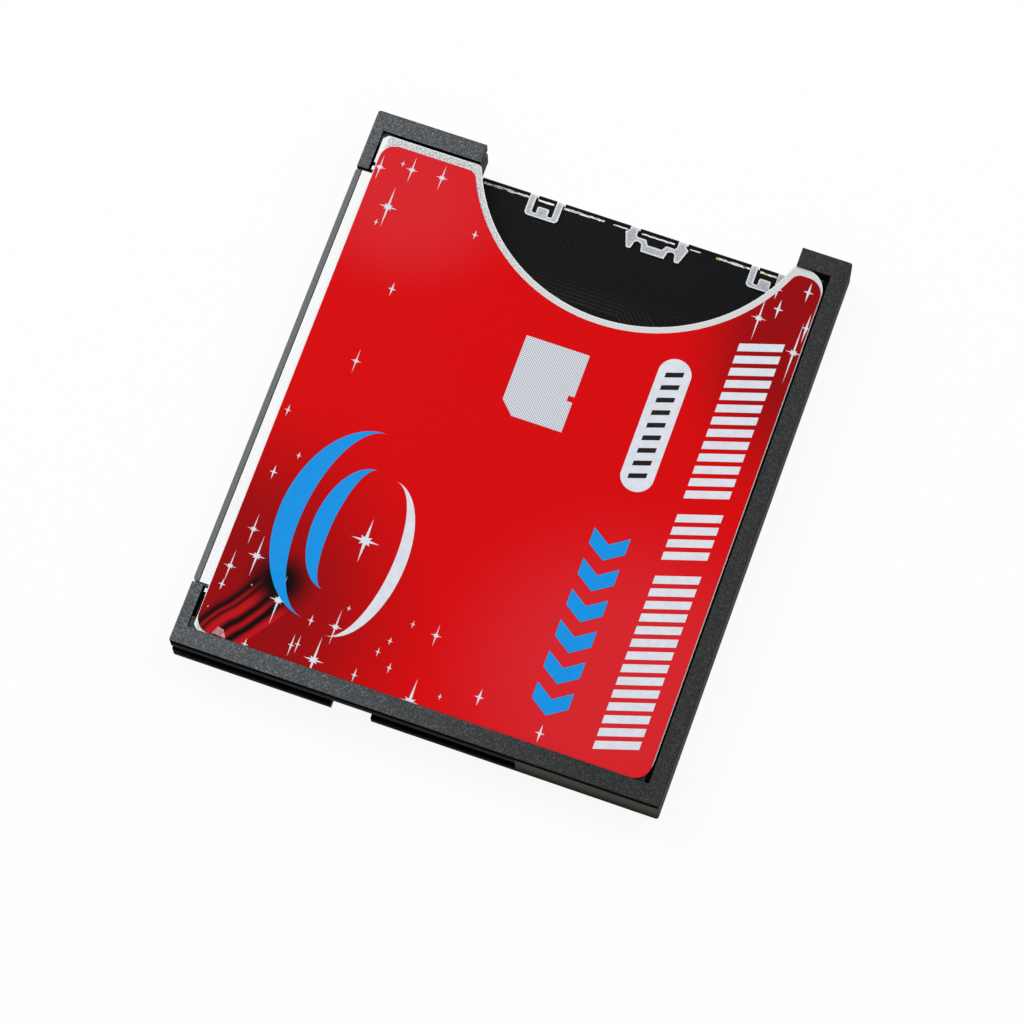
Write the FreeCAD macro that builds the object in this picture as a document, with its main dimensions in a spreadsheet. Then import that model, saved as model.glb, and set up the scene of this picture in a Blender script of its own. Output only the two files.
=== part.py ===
import FreeCAD, Part

import math
import os

import Sketcher

os.makedirs("parts", exist_ok=True)
doc = FreeCAD.newDocument("MemoryCardAdapter")

# X runs from the connector face (-X) to the rear, Y towards the card mouth (+Y), Z up.
# The origin is the middle of the underside. All sizes are in mm.
sizes = {
    # Outside of the adapter, as this kind of card is standardised
    "FrameDepth": 36.40,
    "FrameLength": 42.80,
    "FrameHeight": 3.30,
    "CornerRadius": 0.20,
    "TopBevel": 0.07,
    # Widths of the frame's rim as seen from above
    "PostWidth": 0.87,
    "PostLength": 4.65,
    "RearRim": 1.20,
    "SideRim": 1.40,
    "MouthRim": 1.45,
    # Guide grooves and coding notch on the two flanks
    "GuideLength": 25.78,
    "GuideDepth": 0.63,
    "WideGrooveLow": 0.99,
    "WideGrooveHigh": 2.15,
    "NarrowGrooveLow": 1.60,
    "NarrowGrooveHigh": 2.29,
    "CodingPlace": 12.00,
    "CodingLength": 3.00,
    # Slot for a card of 24 by 32 by 2.1, between two blocks of the frame
    "MouthInset": 8.40,
    "RearBlock": 3.80,
    "SlotWall": 0.80,
    "BayDepth": 8.60,
    "Clearance": 0.10,
    # Thin sheets and the board, from the underside up
    "BottomRecess": 0.05,
    "SheetThick": 0.15,
    "FilmThick": 0.05,
    "BoardThick": 0.40,
    "LabelThick": 0.08,
    "TopRecess": 0.10,
    # Ledges and channels inside the frame
    "SideLedge": 0.70,
    "RearLedge": 0.80,
    "CoverGap": 0.17,
    "CloseGap": 0.02,
    "FoldDepth": 0.80,
    "FoldEnd": 1.80,
    "FoldClear": 0.08,
    # Outline of the covers
    "CoverCornerRadius": 1.60,
    "CoverCornerCut": 0.35,
    "CoverLowSetback": 0.20,
    "FingerMargin": 0.64,
    "FingerCentre": 2.80,
    "FingerCorner": 0.35,
    "LugWidth": 0.30,
    "LugNotch": 0.90,
    "FloorInset": 1.32,
    # Label
    "LabelFrontInset": 0.24,
    "LabelRearInset": 0.06,
    "LabelSideInset": 0.03,
    "LabelMouthInset": 0.62,
    "LabelFingerInset": 0.50,
    "LabelCornerRadius": 1.20,
    "LabelFingerCorner": 0.70,
    # Board and film
    "BoardUnderConnector": 0.80,
    "BoardRearGap": 0.60,
    "BoardSideGap": 0.40,
    "BoardMouthGap": 0.06,
    "FilmMouthGap": 0.08,
    "FilmLegClear": 0.05,
    # Loops and link of the lower cover, folded over the board at the mouth
    "LegInset": 0.22,
    "LegRelief": 0.07,
    "BendRadius": 0.12,
    "LeftTabInset": 5.19,
    "RightTabInset": 1.96,
    "TabWidth": 2.56,
    "TabLeg": 0.50,
    "TabReach": 1.93,
    "TabCorner": 0.30,
    "TabSlotDepth": 0.32,
    "TongueWidth": 0.88,
    "TongueLength": 0.56,
    "TongueCorner": 0.12,
    "LinkShift": 0.11,
    "LinkSpan": 4.30,
    "LinkLeg": 0.60,
    "LinkLobe": 0.26,
    "LinkFoot": 0.34,
    "LinkShoulder": 1.15,
    "LinkBar": 1.76,
    "LinkHollow": 0.62,
    "LinkNeck": 0.33,
    "LinkNeckRise": 0.67,
    "LinkSlope": 0.12,
    # Receptacle with two rows of holes
    "HolePitch": 1.27,
    "RowSpacing": 1.27,
    "HoleSize": 0.60,
    "FunnelDepth": 0.25,
    "FunnelAngle": 34.0,
    "ConnectorDepth": 5.00,
    "ConnectorEndWall": 1.40,
    "ConnectorGap": 0.05,
    "LipWidth": 0.40,
    "LipGap": 0.08,
    "LipEndInset": 0.12,
    "LipRadius": 0.20,
    # Spring contacts of the receptacle
    "ContactWidth": 0.50,
    "BeamThick": 0.08,
    "ThroatGap": 0.24,
    "ForkGap": 0.38,
    "TipInset": 0.50,
    "ThroatPlace": 0.50,
    "BeamLength": 1.60,
    "TailWidth": 0.22,
    "TailThick": 0.12,
    "TailFoot": 0.60,
    "LowerTailReach": 0.40,
    "UpperTailReach": 1.30,
    # Contact block at the card stop
    "BlockDepth": 1.90,
    "BlockClear": 0.05,
    "PegRadius": 0.50,
    "PegInset": 1.10,
    "PegClear": 0.05,
    # Springs that touch the card's contact pads
    "NinthPadInset": 2.85,
    "EighthPadInset": 2.15,
    "EighthPadPitch": 1.70,
    "SpringThick": 0.15,
    "SpringWidth": 0.80,
    "SpringClear": 0.05,
    "SpringTail": 0.90,
    "SpringStart": 0.40,
    "SpringReach": 3.50,
    "SpringRise": 0.70,
    "SpringNose": 0.60,
    "SpringDrop": 0.25,
    "NinthSetBack": 1.00,
    # Side leaves that sense the card and its slider
    "LeafPocket": 1.30,
    "LeafPocketHeight": 1.60,
    "LeafHeight": 1.20,
    "LeafPlace": 1.20,
    "LeafSpacing": 4.60,
    "LeafLength": 4.00,
    "LeafRoot": 1.10,
    "LeafCrest": 2.90,
    "LeafProud": 0.25,
    "LeafTipBack": 0.35,
    # Parts on the board
    "ChipSide": 5.00,
    "ChipHeight": 0.85,
    "ChipMarkRadius": 0.25,
    "ChipMarkDepth": 0.05,
    "RegulatorLength": 2.90,
    "RegulatorWidth": 1.60,
    "RegulatorHeight": 1.10,
    "LeadPitch": 0.95,
    "LeadWidth": 0.40,
    "LeadReach": 0.60,
    "CrystalLength": 3.20,
    "CrystalWidth": 2.50,
    "CrystalHeight": 0.50,
    "CrystalRim": 0.15,
    "CrystalLid": 0.20,
    "CapacitorLength": 1.60,
    "CapacitorWidth": 0.80,
    "CapacitorEnd": 0.30,
    "CapacitorSkin": 0.03,
    "CapacitorPitch": 1.35,
    "CapacitorCount": 4,
    "ResistorLength": 1.00,
    "ResistorWidth": 0.50,
    "ResistorHeight": 0.35,
    "ResistorEnd": 0.22,
    "ResistorSkin": 0.02,
    "ResistorPitch": 0.95,
    "ResistorCount": 5,
    "PartSpacing": 0.70,
    "PartGap": 0.40,
}

sheet = doc.addObject("Spreadsheet::Sheet", "Sizes")
for row, (alias, number) in enumerate(sizes.items(), start=1):
    sheet.set(f"A{row}", alias)
    sheet.set(f"B{row}", str(number))
    sheet.setAlias(f"B{row}", alias)
doc.recompute()


class Size:
    # A length with its value and the expression that gives it from the sheet
    def __init__(self, value, words):
        self.value = value
        self.words = words

    def __add__(self, other):
        other = asSize(other)
        return Size(self.value + other.value, f"({self.words} + {other.words})")

    def __sub__(self, other):
        other = asSize(other)
        return Size(self.value - other.value, f"({self.words} - {other.words})")

    def __mul__(self, other):
        other = asSize(other)
        return Size(self.value * other.value, f"({self.words} * {other.words})")

    def __truediv__(self, other):
        other = asSize(other)
        return Size(self.value / other.value, f"({self.words} / {other.words})")

    def __neg__(self):
        return Size(-self.value, f"(0 - {self.words})")


def asSize(number):
    return number if isinstance(number, Size) else Size(float(number), f"({float(number)})")


def size(alias):
    return Size(float(sheet.get(alias)), f"Sizes.{alias}")


def chordHalf(radius, distance):
    # Half the chord that a circle cuts from a line at this distance from its centre
    half = math.sqrt(radius.value**2 - distance.value**2)
    return Size(half, f"sqrt({radius.words}^2 - {distance.words}^2)")


# Outer faces, and levels of the thin layers
side = size("FrameLength") / 2
rear = size("FrameDepth") / 2
front = -rear
height = size("FrameHeight")
outside = 1.0
clear = size("Clearance")
sheetThick = size("SheetThick")
coverLow = size("BottomRecess")
coverTop = coverLow + sheetThick
filmTop = coverTop + size("FilmThick")
boardTop = filmTop + size("BoardThick")
labelTop = height - size("TopRecess")
lidTop = labelTop - size("LabelThick")
lidUnder = lidTop - sheetThick

# Edges of the opening in which the covers lie
openFront = front + size("PostWidth")
openRear = rear - size("RearRim")
openSide = size("SideRim") - side
openMouth = side - size("MouthRim")

# Receptacle between the posts, with as many holes in a row as there is room for
postEnd = side - size("PostLength")
connectorHalf = postEnd - size("ConnectorGap")
connectorRear = front + size("ConnectorDepth")
lipRear = front + size("LipWidth")
lipHalf = connectorHalf - size("LipEndInset")
holeRoom = (connectorHalf - size("ConnectorEndWall")) * 2 / size("HolePitch")
holesPerRow = Size(math.floor(holeRoom.value) + 1, f"(floor({holeRoom.words}) + 1)")
holeSpan = size("HolePitch") * (holesPerRow - 1)
lowerRow = (height - size("RowSpacing")) / 2
upperRow = (height + size("RowSpacing")) / 2

# Card slot, contact block and the bay for the parts behind it
mouthLeft = front + size("MouthInset")
mouthRight = rear - size("RearBlock")
mouthMiddle = (mouthLeft + mouthRight) / 2
wallLeft = mouthLeft - size("SlotWall")
baySide = openSide + size("SideLedge")
bayRear = openRear - size("RearLedge")
cardStop = baySide + size("BayDepth")
blockBack = cardStop - size("BlockDepth")
tailEnd = blockBack - size("SpringTail")

# Edges of the covers
coverGap = size("CoverGap")
closeGap = size("CloseGap")
coverFront = openFront + coverGap
coverRear = openRear - coverGap
coverLowFront = coverFront + size("CoverLowSetback")
coverSide = openSide + closeGap
coverMouth = openMouth - coverGap
coverMouthRight = openMouth - closeGap
tongueFront = lipRear + size("LipGap")
lugFront = coverFront + coverGap
lugEnd = lipHalf + size("LugNotch")
fingerY = side + size("FingerCentre")
fingerRadius = (mouthRight - mouthLeft) / 2 + size("FingerMargin")
floorEdge = side - size("FloorInset")
legFace = floorEdge - size("LegInset")
legBack = legFace - sheetThick

# Edges of the board
boardFront = connectorRear - size("BoardUnderConnector")
boardRear = openRear - size("BoardRearGap")
boardSide = openSide + size("BoardSideGap")
boardMouth = legBack - size("BoardMouthGap")


def newBody(name):
    body = doc.addObject("PartDesign::Body", name)
    body.Label = name
    body.AllowCompound = True
    return body


def originOf(body, role):
    return [item for item in body.Origin.OriginFeatures if item.Role == role][0]


def pinPoint(sketch, geometry, point, place):
    # Holds one point of a sketch at its place by two bound distances
    for kind, length in zip(("DistanceX", "DistanceY"), place):
        length = asSize(length)
        rule = Sketcher.Constraint(kind, -1, 1, geometry, point, length.value)
        sketch.setExpression(f"Constraints[{sketch.addConstraint(rule)}]", length.words)


def drawOutline(sketch, corners):
    points = [FreeCAD.Vector(asSize(x).value, asSize(y).value, 0) for x, y in corners]
    for start, end in zip(points, points[1:] + points[:1]):
        sketch.addGeometry(Part.LineSegment(start, end))
    for index, corner in enumerate(corners):
        after = (index + 1) % len(corners)
        sketch.addConstraint(Sketcher.Constraint("Coincident", index, 2, after, 1))
        pinPoint(sketch, index, 1, corner)


def drawCircle(sketch, centre, radius):
    middle = FreeCAD.Vector(asSize(centre[0]).value, asSize(centre[1]).value, 0)
    sketch.addGeometry(Part.Circle(middle, FreeCAD.Vector(0, 0, 1), radius.value))
    pinPoint(sketch, 0, 3, centre)
    rule = Sketcher.Constraint("Radius", 0, radius.value)
    sketch.setExpression(f"Constraints[{sketch.addConstraint(rule)}]", radius.words)


def extrude(body, kind, name, drawing, low, high, plane, taper=None):
    # Pads or pockets a drawing between two places along the plane's axis
    low = asSize(low)
    high = asSize(high)
    if plane == "XZ_Plane":
        low, high = -high, -low
    sketch = body.newObject("Sketcher::SketchObject", f"{body.Name}_{name}_sketch")
    sketch.AttachmentSupport = [(originOf(body, plane), "")]
    sketch.MapMode = "FlatFace"
    sketch.setExpression("AttachmentOffset.Base.z", (low if kind == "Pad" else high).words)
    if isinstance(drawing, tuple):
        drawCircle(sketch, *drawing)
    else:
        drawOutline(sketch, drawing)
    before = body.Shape.Volume if body.Tip else 0
    feature = body.newObject(f"PartDesign::{kind}", f"{body.Name}_{name}")
    feature.Profile = sketch
    feature.setExpression("Length", (high - low).words)
    if taper:
        feature.setExpression("TaperAngle", taper.words)
    body.Tip = feature
    doc.recompute()
    grown = body.Shape.Volume - before
    if (grown <= 0) == (kind == "Pad"):
        raise RuntimeError(f"{body.Name}_{name} does not change the body as it should")
    return feature


def pad(body, name, drawing, low, high, plane="XY_Plane"):
    return extrude(body, "Pad", name, drawing, low, high, plane)


def pocket(body, name, drawing, low, high, plane="XY_Plane", taper=None):
    return extrude(body, "Pocket", name, drawing, low, high, plane, taper)


def rectangle(left, right, bottom, top):
    return [(left, bottom), (right, bottom), (right, top), (left, top)]


def square(x, y, edge):
    return rectangle(x - edge / 2, x + edge / 2, y - edge / 2, y + edge / 2)


def repeat(body, features, count, length, role="Y_Axis"):
    pattern = body.newObject("PartDesign::LinearPattern", f"{body.Name}_row")
    pattern.Originals = features
    pattern.Direction = (originOf(body, role), [""])
    pattern.setExpression("Occurrences", count.words)
    pattern.setExpression("Length", length.words)
    body.Tip = pattern
    doc.recompute()


def near(first, second):
    return abs(first - second) < 1e-4


def uprights(body, places):
    # Names of the upright edges at these places in the plan
    spots = [(asSize(x).value, asSize(y).value) for x, y in places]
    names = []
    for index, edge in enumerate(body.Shape.Edges, start=1):
        ends = [vertex.Point for vertex in edge.Vertexes]
        upright = len(ends) == 2 and near(ends[0].x, ends[1].x) and near(ends[0].y, ends[1].y)
        if upright and any(near(ends[0].x, x) and near(ends[0].y, y) for x, y in spots):
            names.append(f"Edge{index}")
    return names


def dress(body, kind, name, edges, length):
    # Rounds or bevels edges of what the body is so far
    base = body.Tip
    feature = body.newObject(f"PartDesign::{kind}", f"{body.Name}_{name}")
    feature.Base = (base, edges)
    feature.setExpression("Radius" if kind == "Fillet" else "Size", length.words)
    body.Tip = feature
    doc.recompute()


# Frame: one moulding with corner posts, slot wall, ledges and channels
def coverOpening():
    return [
        (front - outside, -postEnd),
        (openFront, -postEnd),
        (openFront, openSide),
        (openRear, openSide),
        (openRear, openMouth),
        (mouthRight, openMouth),
        (mouthRight, side + outside),
        (mouthLeft, side + outside),
        (mouthLeft, openMouth),
        (openFront, openMouth),
        (openFront, postEnd),
        (front - outside, postEnd),
    ]


def boardOpening():
    return [
        (boardFront - clear, openSide),
        (openRear, openSide),
        (openRear, openMouth),
        (mouthRight, openMouth),
        (mouthRight, side + outside),
        (mouthLeft, side + outside),
        (mouthLeft, openMouth),
        (boardFront - clear, openMouth),
    ]


def leafStart(index):
    return cardStop + size("LeafPlace") + size("LeafSpacing") * index


def makeFrame():
    body = newBody("frame")
    pad(body, "block", rectangle(front, rear, -side, side), 0, height)
    corners = uprights(body, [(rear, side), (rear, -side), (front, side), (front, -side)])
    dress(body, "Fillet", "corners", corners, size("CornerRadius"))
    pocket(body, "lid_recess", coverOpening(), lidUnder, height + outside)
    pocket(body, "base_recess", coverOpening(), -outside, coverTop)
    pocket(body, "board_bay", boardOpening(), coverTop, boardTop)
    connector = rectangle(front - outside, connectorRear, -postEnd, postEnd)
    pocket(body, "connector_bay", connector, -outside, height + outside)
    rooms = {
        "tail_bay": rectangle(connectorRear, wallLeft, -postEnd, postEnd),
        "parts_bay": rectangle(mouthLeft, bayRear, baySide, cardStop),
        "card_slot": rectangle(mouthLeft, mouthRight, cardStop, side + outside),
    }
    for name, room in rooms.items():
        pocket(body, name, room, boardTop, lidUnder)
    leafEnd = leafStart(1) + size("LeafLength")
    leaves = rectangle(mouthRight, mouthRight + size("LeafPocket"), leafStart(0), leafEnd)
    pocket(body, "leaf_pocket", leaves, boardTop, boardTop + size("LeafPocketHeight"))

    # Channels for the folded edges of the upper cover
    fold = sheetThick + size("FoldClear")
    wide = coverGap + fold
    lowWide = wide + size("CoverLowSetback")
    end = size("FoldEnd")
    short = end / 2
    channels = {
        "rear_channel": rectangle(openRear - wide, openRear, openSide, openMouth),
        "corner_channel": rectangle(mouthRight + short, openRear, openMouth - wide, openMouth),
        "side_channel": rectangle(wallLeft - end, openRear - end, openSide, coverSide + fold),
        "mouth_channel": rectangle(openFront + short, mouthLeft - short, openMouth - wide, openMouth),
        "low_channel": rectangle(openFront, openFront + lowWide, openSide + short, -postEnd),
        "high_channel": rectangle(openFront, openFront + wide, postEnd, openMouth - short),
    }
    for name, channel in channels.items():
        pocket(body, name, channel, lidUnder - size("FoldDepth") - size("FoldClear"), lidUnder)

    # Guide grooves, and the notch in the lower rail that codes the voltage
    guideEnd = front + size("GuideLength")
    depth = side - size("GuideDepth")
    beyond = side + outside
    flanks = {
        "wide": (-beyond, -depth, size("WideGrooveLow"), size("WideGrooveHigh")),
        "narrow": (depth, beyond, size("NarrowGrooveLow"), size("NarrowGrooveHigh")),
    }
    for name, (bottom, top, low, high) in flanks.items():
        groove = rectangle(front - outside, guideEnd, bottom, top)
        pocket(body, f"{name}_groove", groove, low, high)
    coding = front + size("CodingPlace")
    notch = rectangle(coding, coding + size("CodingLength"), -beyond, -depth)
    pocket(body, "coding_notch", notch, -outside, size("WideGrooveLow"))

    rim = []
    for index, edge in enumerate(body.Shape.Edges, start=1):
        box = edge.BoundBox
        onTop = near(box.ZMin, height.value)
        onFlank = near(box.YMin, side.value) or near(box.YMax, -side.value)
        onEnd = near(box.XMin, rear.value) or near(box.XMax, front.value)
        if onTop and (onFlank or onEnd or edge.Curve.TypeId == "Part::GeomCircle"):
            rim.append(f"Edge{index}")
    dress(body, "Chamfer", "rim", rim, size("TopBevel"))
    return body


# Covers: stamped sheets with a tongue over the connector and folded edges
def coverOutline(mouth):
    return [
        (tongueFront, -lipHalf),
        (lugFront, -lipHalf),
        (lugFront, -lugEnd),
        (coverLowFront, -lugEnd),
        (coverLowFront, coverSide),
        (coverRear, coverSide),
        *mouth,
        (coverFront, coverMouth),
        (coverFront, lugEnd),
        (lugFront, lugEnd),
        (lugFront, lipHalf),
        (tongueFront, lipHalf),
    ]


def cutFinger(body, radius, left, right, corner):
    # Round finger notch at the mouth, with its two corners eased
    circle = ((mouthMiddle, fingerY), radius)
    pocket(body, "finger_notch", circle, -outside, height + outside)
    ends = [
        (mouthMiddle - chordHalf(radius, fingerY - left), left),
        (mouthMiddle + chordHalf(radius, fingerY - right), right),
    ]
    dress(body, "Fillet", "finger_corners", uprights(body, ends), corner)


def makeTopCover():
    body = newBody("top_cover")
    mouth = [
        (coverRear, coverMouthRight),
        (mouthMiddle, coverMouthRight),
        (mouthMiddle, coverMouth),
    ]
    pad(body, "sheet", coverOutline(mouth), lidUnder, lidTop)
    cutFinger(body, fingerRadius, coverMouth, coverMouthRight, size("FingerCorner"))
    rounds = uprights(body, [(coverRear, coverSide), (coverRear, coverMouthRight)])
    dress(body, "Fillet", "rear_corners", rounds, size("CoverCornerRadius"))
    cuts = uprights(body, [(coverLowFront, coverSide), (coverFront, coverMouth)])
    dress(body, "Chamfer", "front_corners", cuts, size("CoverCornerCut"))
    end = size("FoldEnd") + size("FoldClear")
    short = end / 2
    frontFold = coverFront + sheetThick
    lowFold = coverLowFront + sheetThick
    folds = {
        "rear_fold": rectangle(coverRear - sheetThick, coverRear, openSide + end, openMouth - end),
        "side_fold": rectangle(wallLeft, openRear - end, coverSide, coverSide + sheetThick),
        "mouth_fold": rectangle(openFront + end, mouthLeft - end, coverMouth - sheetThick, coverMouth),
        "low_fold": rectangle(coverLowFront, lowFold, openSide + short, -lugEnd),
        "high_fold": rectangle(coverFront, frontFold, lugEnd, openMouth - short),
    }
    for name, fold in folds.items():
        pad(body, name, fold, lidUnder - size("FoldDepth"), lidUnder)
    middle = (lipHalf + lugEnd) / 2
    half = size("LugWidth") / 2
    lugs = {
        "low_lug": rectangle(coverFront, lugFront, -middle - half, half - middle),
        "high_lug": rectangle(coverFront, lugFront, middle - half, middle + half),
    }
    for name, lug in lugs.items():
        pad(body, name, lug, lidUnder - size("FoldDepth"), lidTop)
    return body


def makeLabel():
    body = newBody("label")
    labelFront = coverFront + size("LabelFrontInset")
    labelRear = coverRear - size("LabelRearInset")
    labelSide = coverSide + size("LabelSideInset")
    left = coverMouth - size("LabelMouthInset")
    right = coverMouthRight - size("LabelMouthInset")
    outline = [
        (labelFront, labelSide),
        (labelRear, labelSide),
        (labelRear, right),
        (mouthMiddle, right),
        (mouthMiddle, left),
        (labelFront, left),
    ]
    pad(body, "foil", outline, lidTop, labelTop)
    radius = fingerRadius + size("LabelFingerInset")
    cutFinger(body, radius, left, right, size("LabelFingerCorner"))
    places = [(labelFront, labelSide), (labelRear, labelSide), (labelRear, right), (labelFront, left)]
    dress(body, "Fillet", "corners", uprights(body, places), size("LabelCornerRadius"))
    return body


# Places of the loops and the link, and of the legs that carry them
loopPlaces = [
    mouthLeft + size("LeftTabInset"),
    mouthRight - size("RightTabInset"),
]
linkPlace = (loopPlaces[0] + loopPlaces[1]) / 2 + size("LinkShift")
tabTip = floorEdge - size("TabReach")


def legPlaces():
    legs = []
    for middle in loopPlaces:
        half = size("TabWidth") / 2
        legs.append((middle - half, middle - half + size("TabLeg")))
        legs.append((middle + half - size("TabLeg"), middle + half))
    half = size("LinkSpan") / 2
    legs.append((linkPlace - half, linkPlace - half + size("LinkLeg")))
    legs.append((linkPlace + half - size("LinkLeg"), linkPlace + half))
    return legs


def loopOutline(middle):
    # A loop folded over the board's edge, with a tongue standing inside it
    half = size("TabWidth") / 2
    inner = half - size("TabLeg")
    tongue = size("TongueWidth") / 2
    slot = tabTip + size("TabSlotDepth")
    top = slot + size("TongueLength")
    return [
        (middle - half, legFace),
        (middle - half, tabTip),
        (middle + half, tabTip),
        (middle + half, legFace),
        (middle + inner, legFace),
        (middle + inner, slot),
        (middle + tongue, slot),
        (middle + tongue, top),
        (middle - tongue, top),
        (middle - tongue, slot),
        (middle - inner, slot),
        (middle - inner, legFace),
    ]


def footEnds():
    # The two ends of a foot's tip, measured from the middle of the link
    start = size("LinkSpan") / 2 - size("LinkLeg") + size("LinkSlope")
    return start, start + size("LinkFoot")


def linkOutline():
    # Two feet with lobes, joined by a bowed link with narrow necks
    half = size("LinkSpan") / 2
    inner = half - size("LinkLeg")
    lobe = size("LinkLobe")
    slope = size("LinkSlope")
    neck = size("LinkNeck")
    bar = size("LinkBar") / 2
    shoulder = tabTip + size("LinkShoulder")
    hollow = tabTip + size("LinkHollow")
    neckLow = tabTip + size("LinkNeckRise")
    neckTop = neckLow + neck
    tipStart, tipEnd = footEnds()
    lower = [
        (bar, tabTip),
        (bar + slope, neckLow - slope),
        (bar + neck, neckLow),
        (inner - slope, neckLow),
        (inner, neckLow - slope),
        (tipStart, tabTip),
        (tipEnd, tabTip),
        (half + lobe, shoulder),
        (half, shoulder + lobe),
        (half, legFace),
    ]
    upper = [
        (inner, legFace),
        (inner, shoulder),
        (inner - slope, neckTop),
        (bar - slope, neckTop),
        (bar - neck, hollow),
    ]
    right = [(linkPlace + x, y) for x, y in lower + upper]
    left = [(linkPlace - x, y) for x, y in reversed(lower + upper)]
    return right + left


def makeBottomCover():
    body = newBody("bottom_cover")
    mouth = [
        (coverRear, coverMouth),
        (mouthRight - clear, coverMouth),
        (mouthRight - clear, floorEdge),
        (mouthLeft + clear, floorEdge),
        (mouthLeft + clear, coverMouth),
    ]
    pad(body, "sheet", coverOutline(mouth), coverLow, coverTop)
    rounds = uprights(body, [(coverRear, coverSide), (coverRear, coverMouth)])
    dress(body, "Fillet", "rear_corners", rounds, size("CoverCornerRadius"))
    cuts = uprights(body, [(coverLowFront, coverSide), (coverFront, coverMouth)])
    dress(body, "Chamfer", "front_corners", cuts, size("CoverCornerCut"))
    end = size("FoldEnd") + size("FoldClear")
    folds = {
        "rear_fold": rectangle(coverRear - sheetThick, coverRear, openSide + end, openMouth - end),
        "side_fold": rectangle(wallLeft, openRear - end, coverSide, coverSide + sheetThick),
    }
    for name, fold in folds.items():
        pad(body, name, fold, coverTop, boardTop - size("FoldClear"))
    tabTop = boardTop + sheetThick
    relief = size("LegRelief")
    for index, (left, right) in enumerate(legPlaces()):
        notch = rectangle(left - relief, right + relief, legFace, side)
        pocket(body, f"leg_notch_{index}", notch, -outside, coverTop)
        pad(body, f"leg_{index}", rectangle(left, right, legBack, legFace), coverTop, boardTop)
    pad(body, "link", linkOutline(), boardTop, tabTop)
    for index, middle in enumerate(loopPlaces):
        pad(body, f"loop_{index}", loopOutline(middle), boardTop, tabTop)
    half = size("TabWidth") / 2
    inner = half - size("TabLeg")
    tongue = size("TongueWidth") / 2
    slot = tabTip + size("TabSlotDepth")
    outer = []
    fine = []
    for middle in loopPlaces:
        outer += [(middle - half, tabTip), (middle + half, tabTip)]
        for x, y in ((tongue, slot + size("TongueLength")), (inner, slot)):
            fine += [(middle - x, y), (middle + x, y)]
    for x in footEnds():
        fine += [(linkPlace - x, tabTip), (linkPlace + x, tabTip)]
    dress(body, "Fillet", "loop_corners", uprights(body, outer), size("TabCorner"))
    dress(body, "Fillet", "tongue_corners", uprights(body, fine), size("TongueCorner"))
    bends = []
    for index, edge in enumerate(body.Shape.Edges, start=1):
        box = edge.BoundBox
        onFace = near(box.YMin, legFace.value) and near(box.YMax, legFace.value)
        if onFace and near(box.ZMin, tabTop.value) and near(box.ZMax, tabTop.value):
            bends.append(f"Edge{index}")
    dress(body, "Fillet", "bends", bends, size("BendRadius"))
    return body


def makeFilm():
    body = newBody("insulating_film")
    filmMouth = floorEdge - size("FilmMouthGap")
    outline = [
        (boardFront, boardSide),
        (boardRear, boardSide),
        (boardRear, boardMouth),
        (mouthRight - clear * 2, boardMouth),
        (mouthRight - clear * 2, filmMouth),
        (mouthLeft + clear * 2, filmMouth),
        (mouthLeft + clear * 2, boardMouth),
        (boardFront, boardMouth),
    ]
    pad(body, "film", outline, coverTop, filmTop)
    gap = size("FilmLegClear")
    relief = size("LegRelief")
    for index, (left, right) in enumerate(legPlaces()):
        slit = rectangle(left - gap, right + gap, legBack - gap, legFace)
        pocket(body, f"leg_slit_{index}", slit, coverTop - outside, filmTop + outside)
        notch = rectangle(left - relief, right + relief, legFace, side)
        pocket(body, f"leg_notch_{index}", notch, coverTop - outside, filmTop + outside)
    return body


def pegPlaces():
    middle = (cardStop + blockBack) / 2
    inset = size("PegInset")
    return [(mouthLeft + inset, middle), (mouthRight - inset, middle)]


def makeBoard():
    body = newBody("circuit_board")
    outline = rectangle(boardFront, boardRear, boardSide, boardMouth)
    pad(body, "board", outline, filmTop, boardTop)
    for index, place in enumerate(pegPlaces()):
        hole = (place, size("PegRadius") + size("PegClear"))
        pocket(body, f"peg_hole_{index}", hole, filmTop - outside, boardTop + outside)
    return body


# Receptacle: moulded housing with two rows of funnelled holes
def makeHousing():
    body = newBody("connector_housing")
    pad(body, "lip", rectangle(front, lipRear, -lipHalf, lipHalf), coverLow, lidTop)
    ends = uprights(body, [(front, -lipHalf), (front, lipHalf)])
    dress(body, "Fillet", "lip_ends", ends, size("LipRadius"))
    step = boardFront - clear
    pad(body, "body", rectangle(lipRear, step, -connectorHalf, connectorHalf), coverTop, lidUnder)
    shelf = rectangle(step, connectorRear, -connectorHalf, connectorHalf)
    pad(body, "shelf", shelf, boardTop, lidUnder)
    first = -holeSpan / 2
    funnelBack = front + size("FunnelDepth")
    features = []
    for name, level in (("lower", lowerRow), ("upper", upperRow)):
        hole = square(first, level, size("HoleSize"))
        features.append(pocket(body, f"{name}_hole", hole, funnelBack, connectorRear, "YZ_Plane"))
        angle = size("FunnelAngle")
        features.append(pocket(body, f"{name}_funnel", hole, front, funnelBack, "YZ_Plane", angle))
    repeat(body, features, holesPerRow, holeSpan)
    return body


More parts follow.
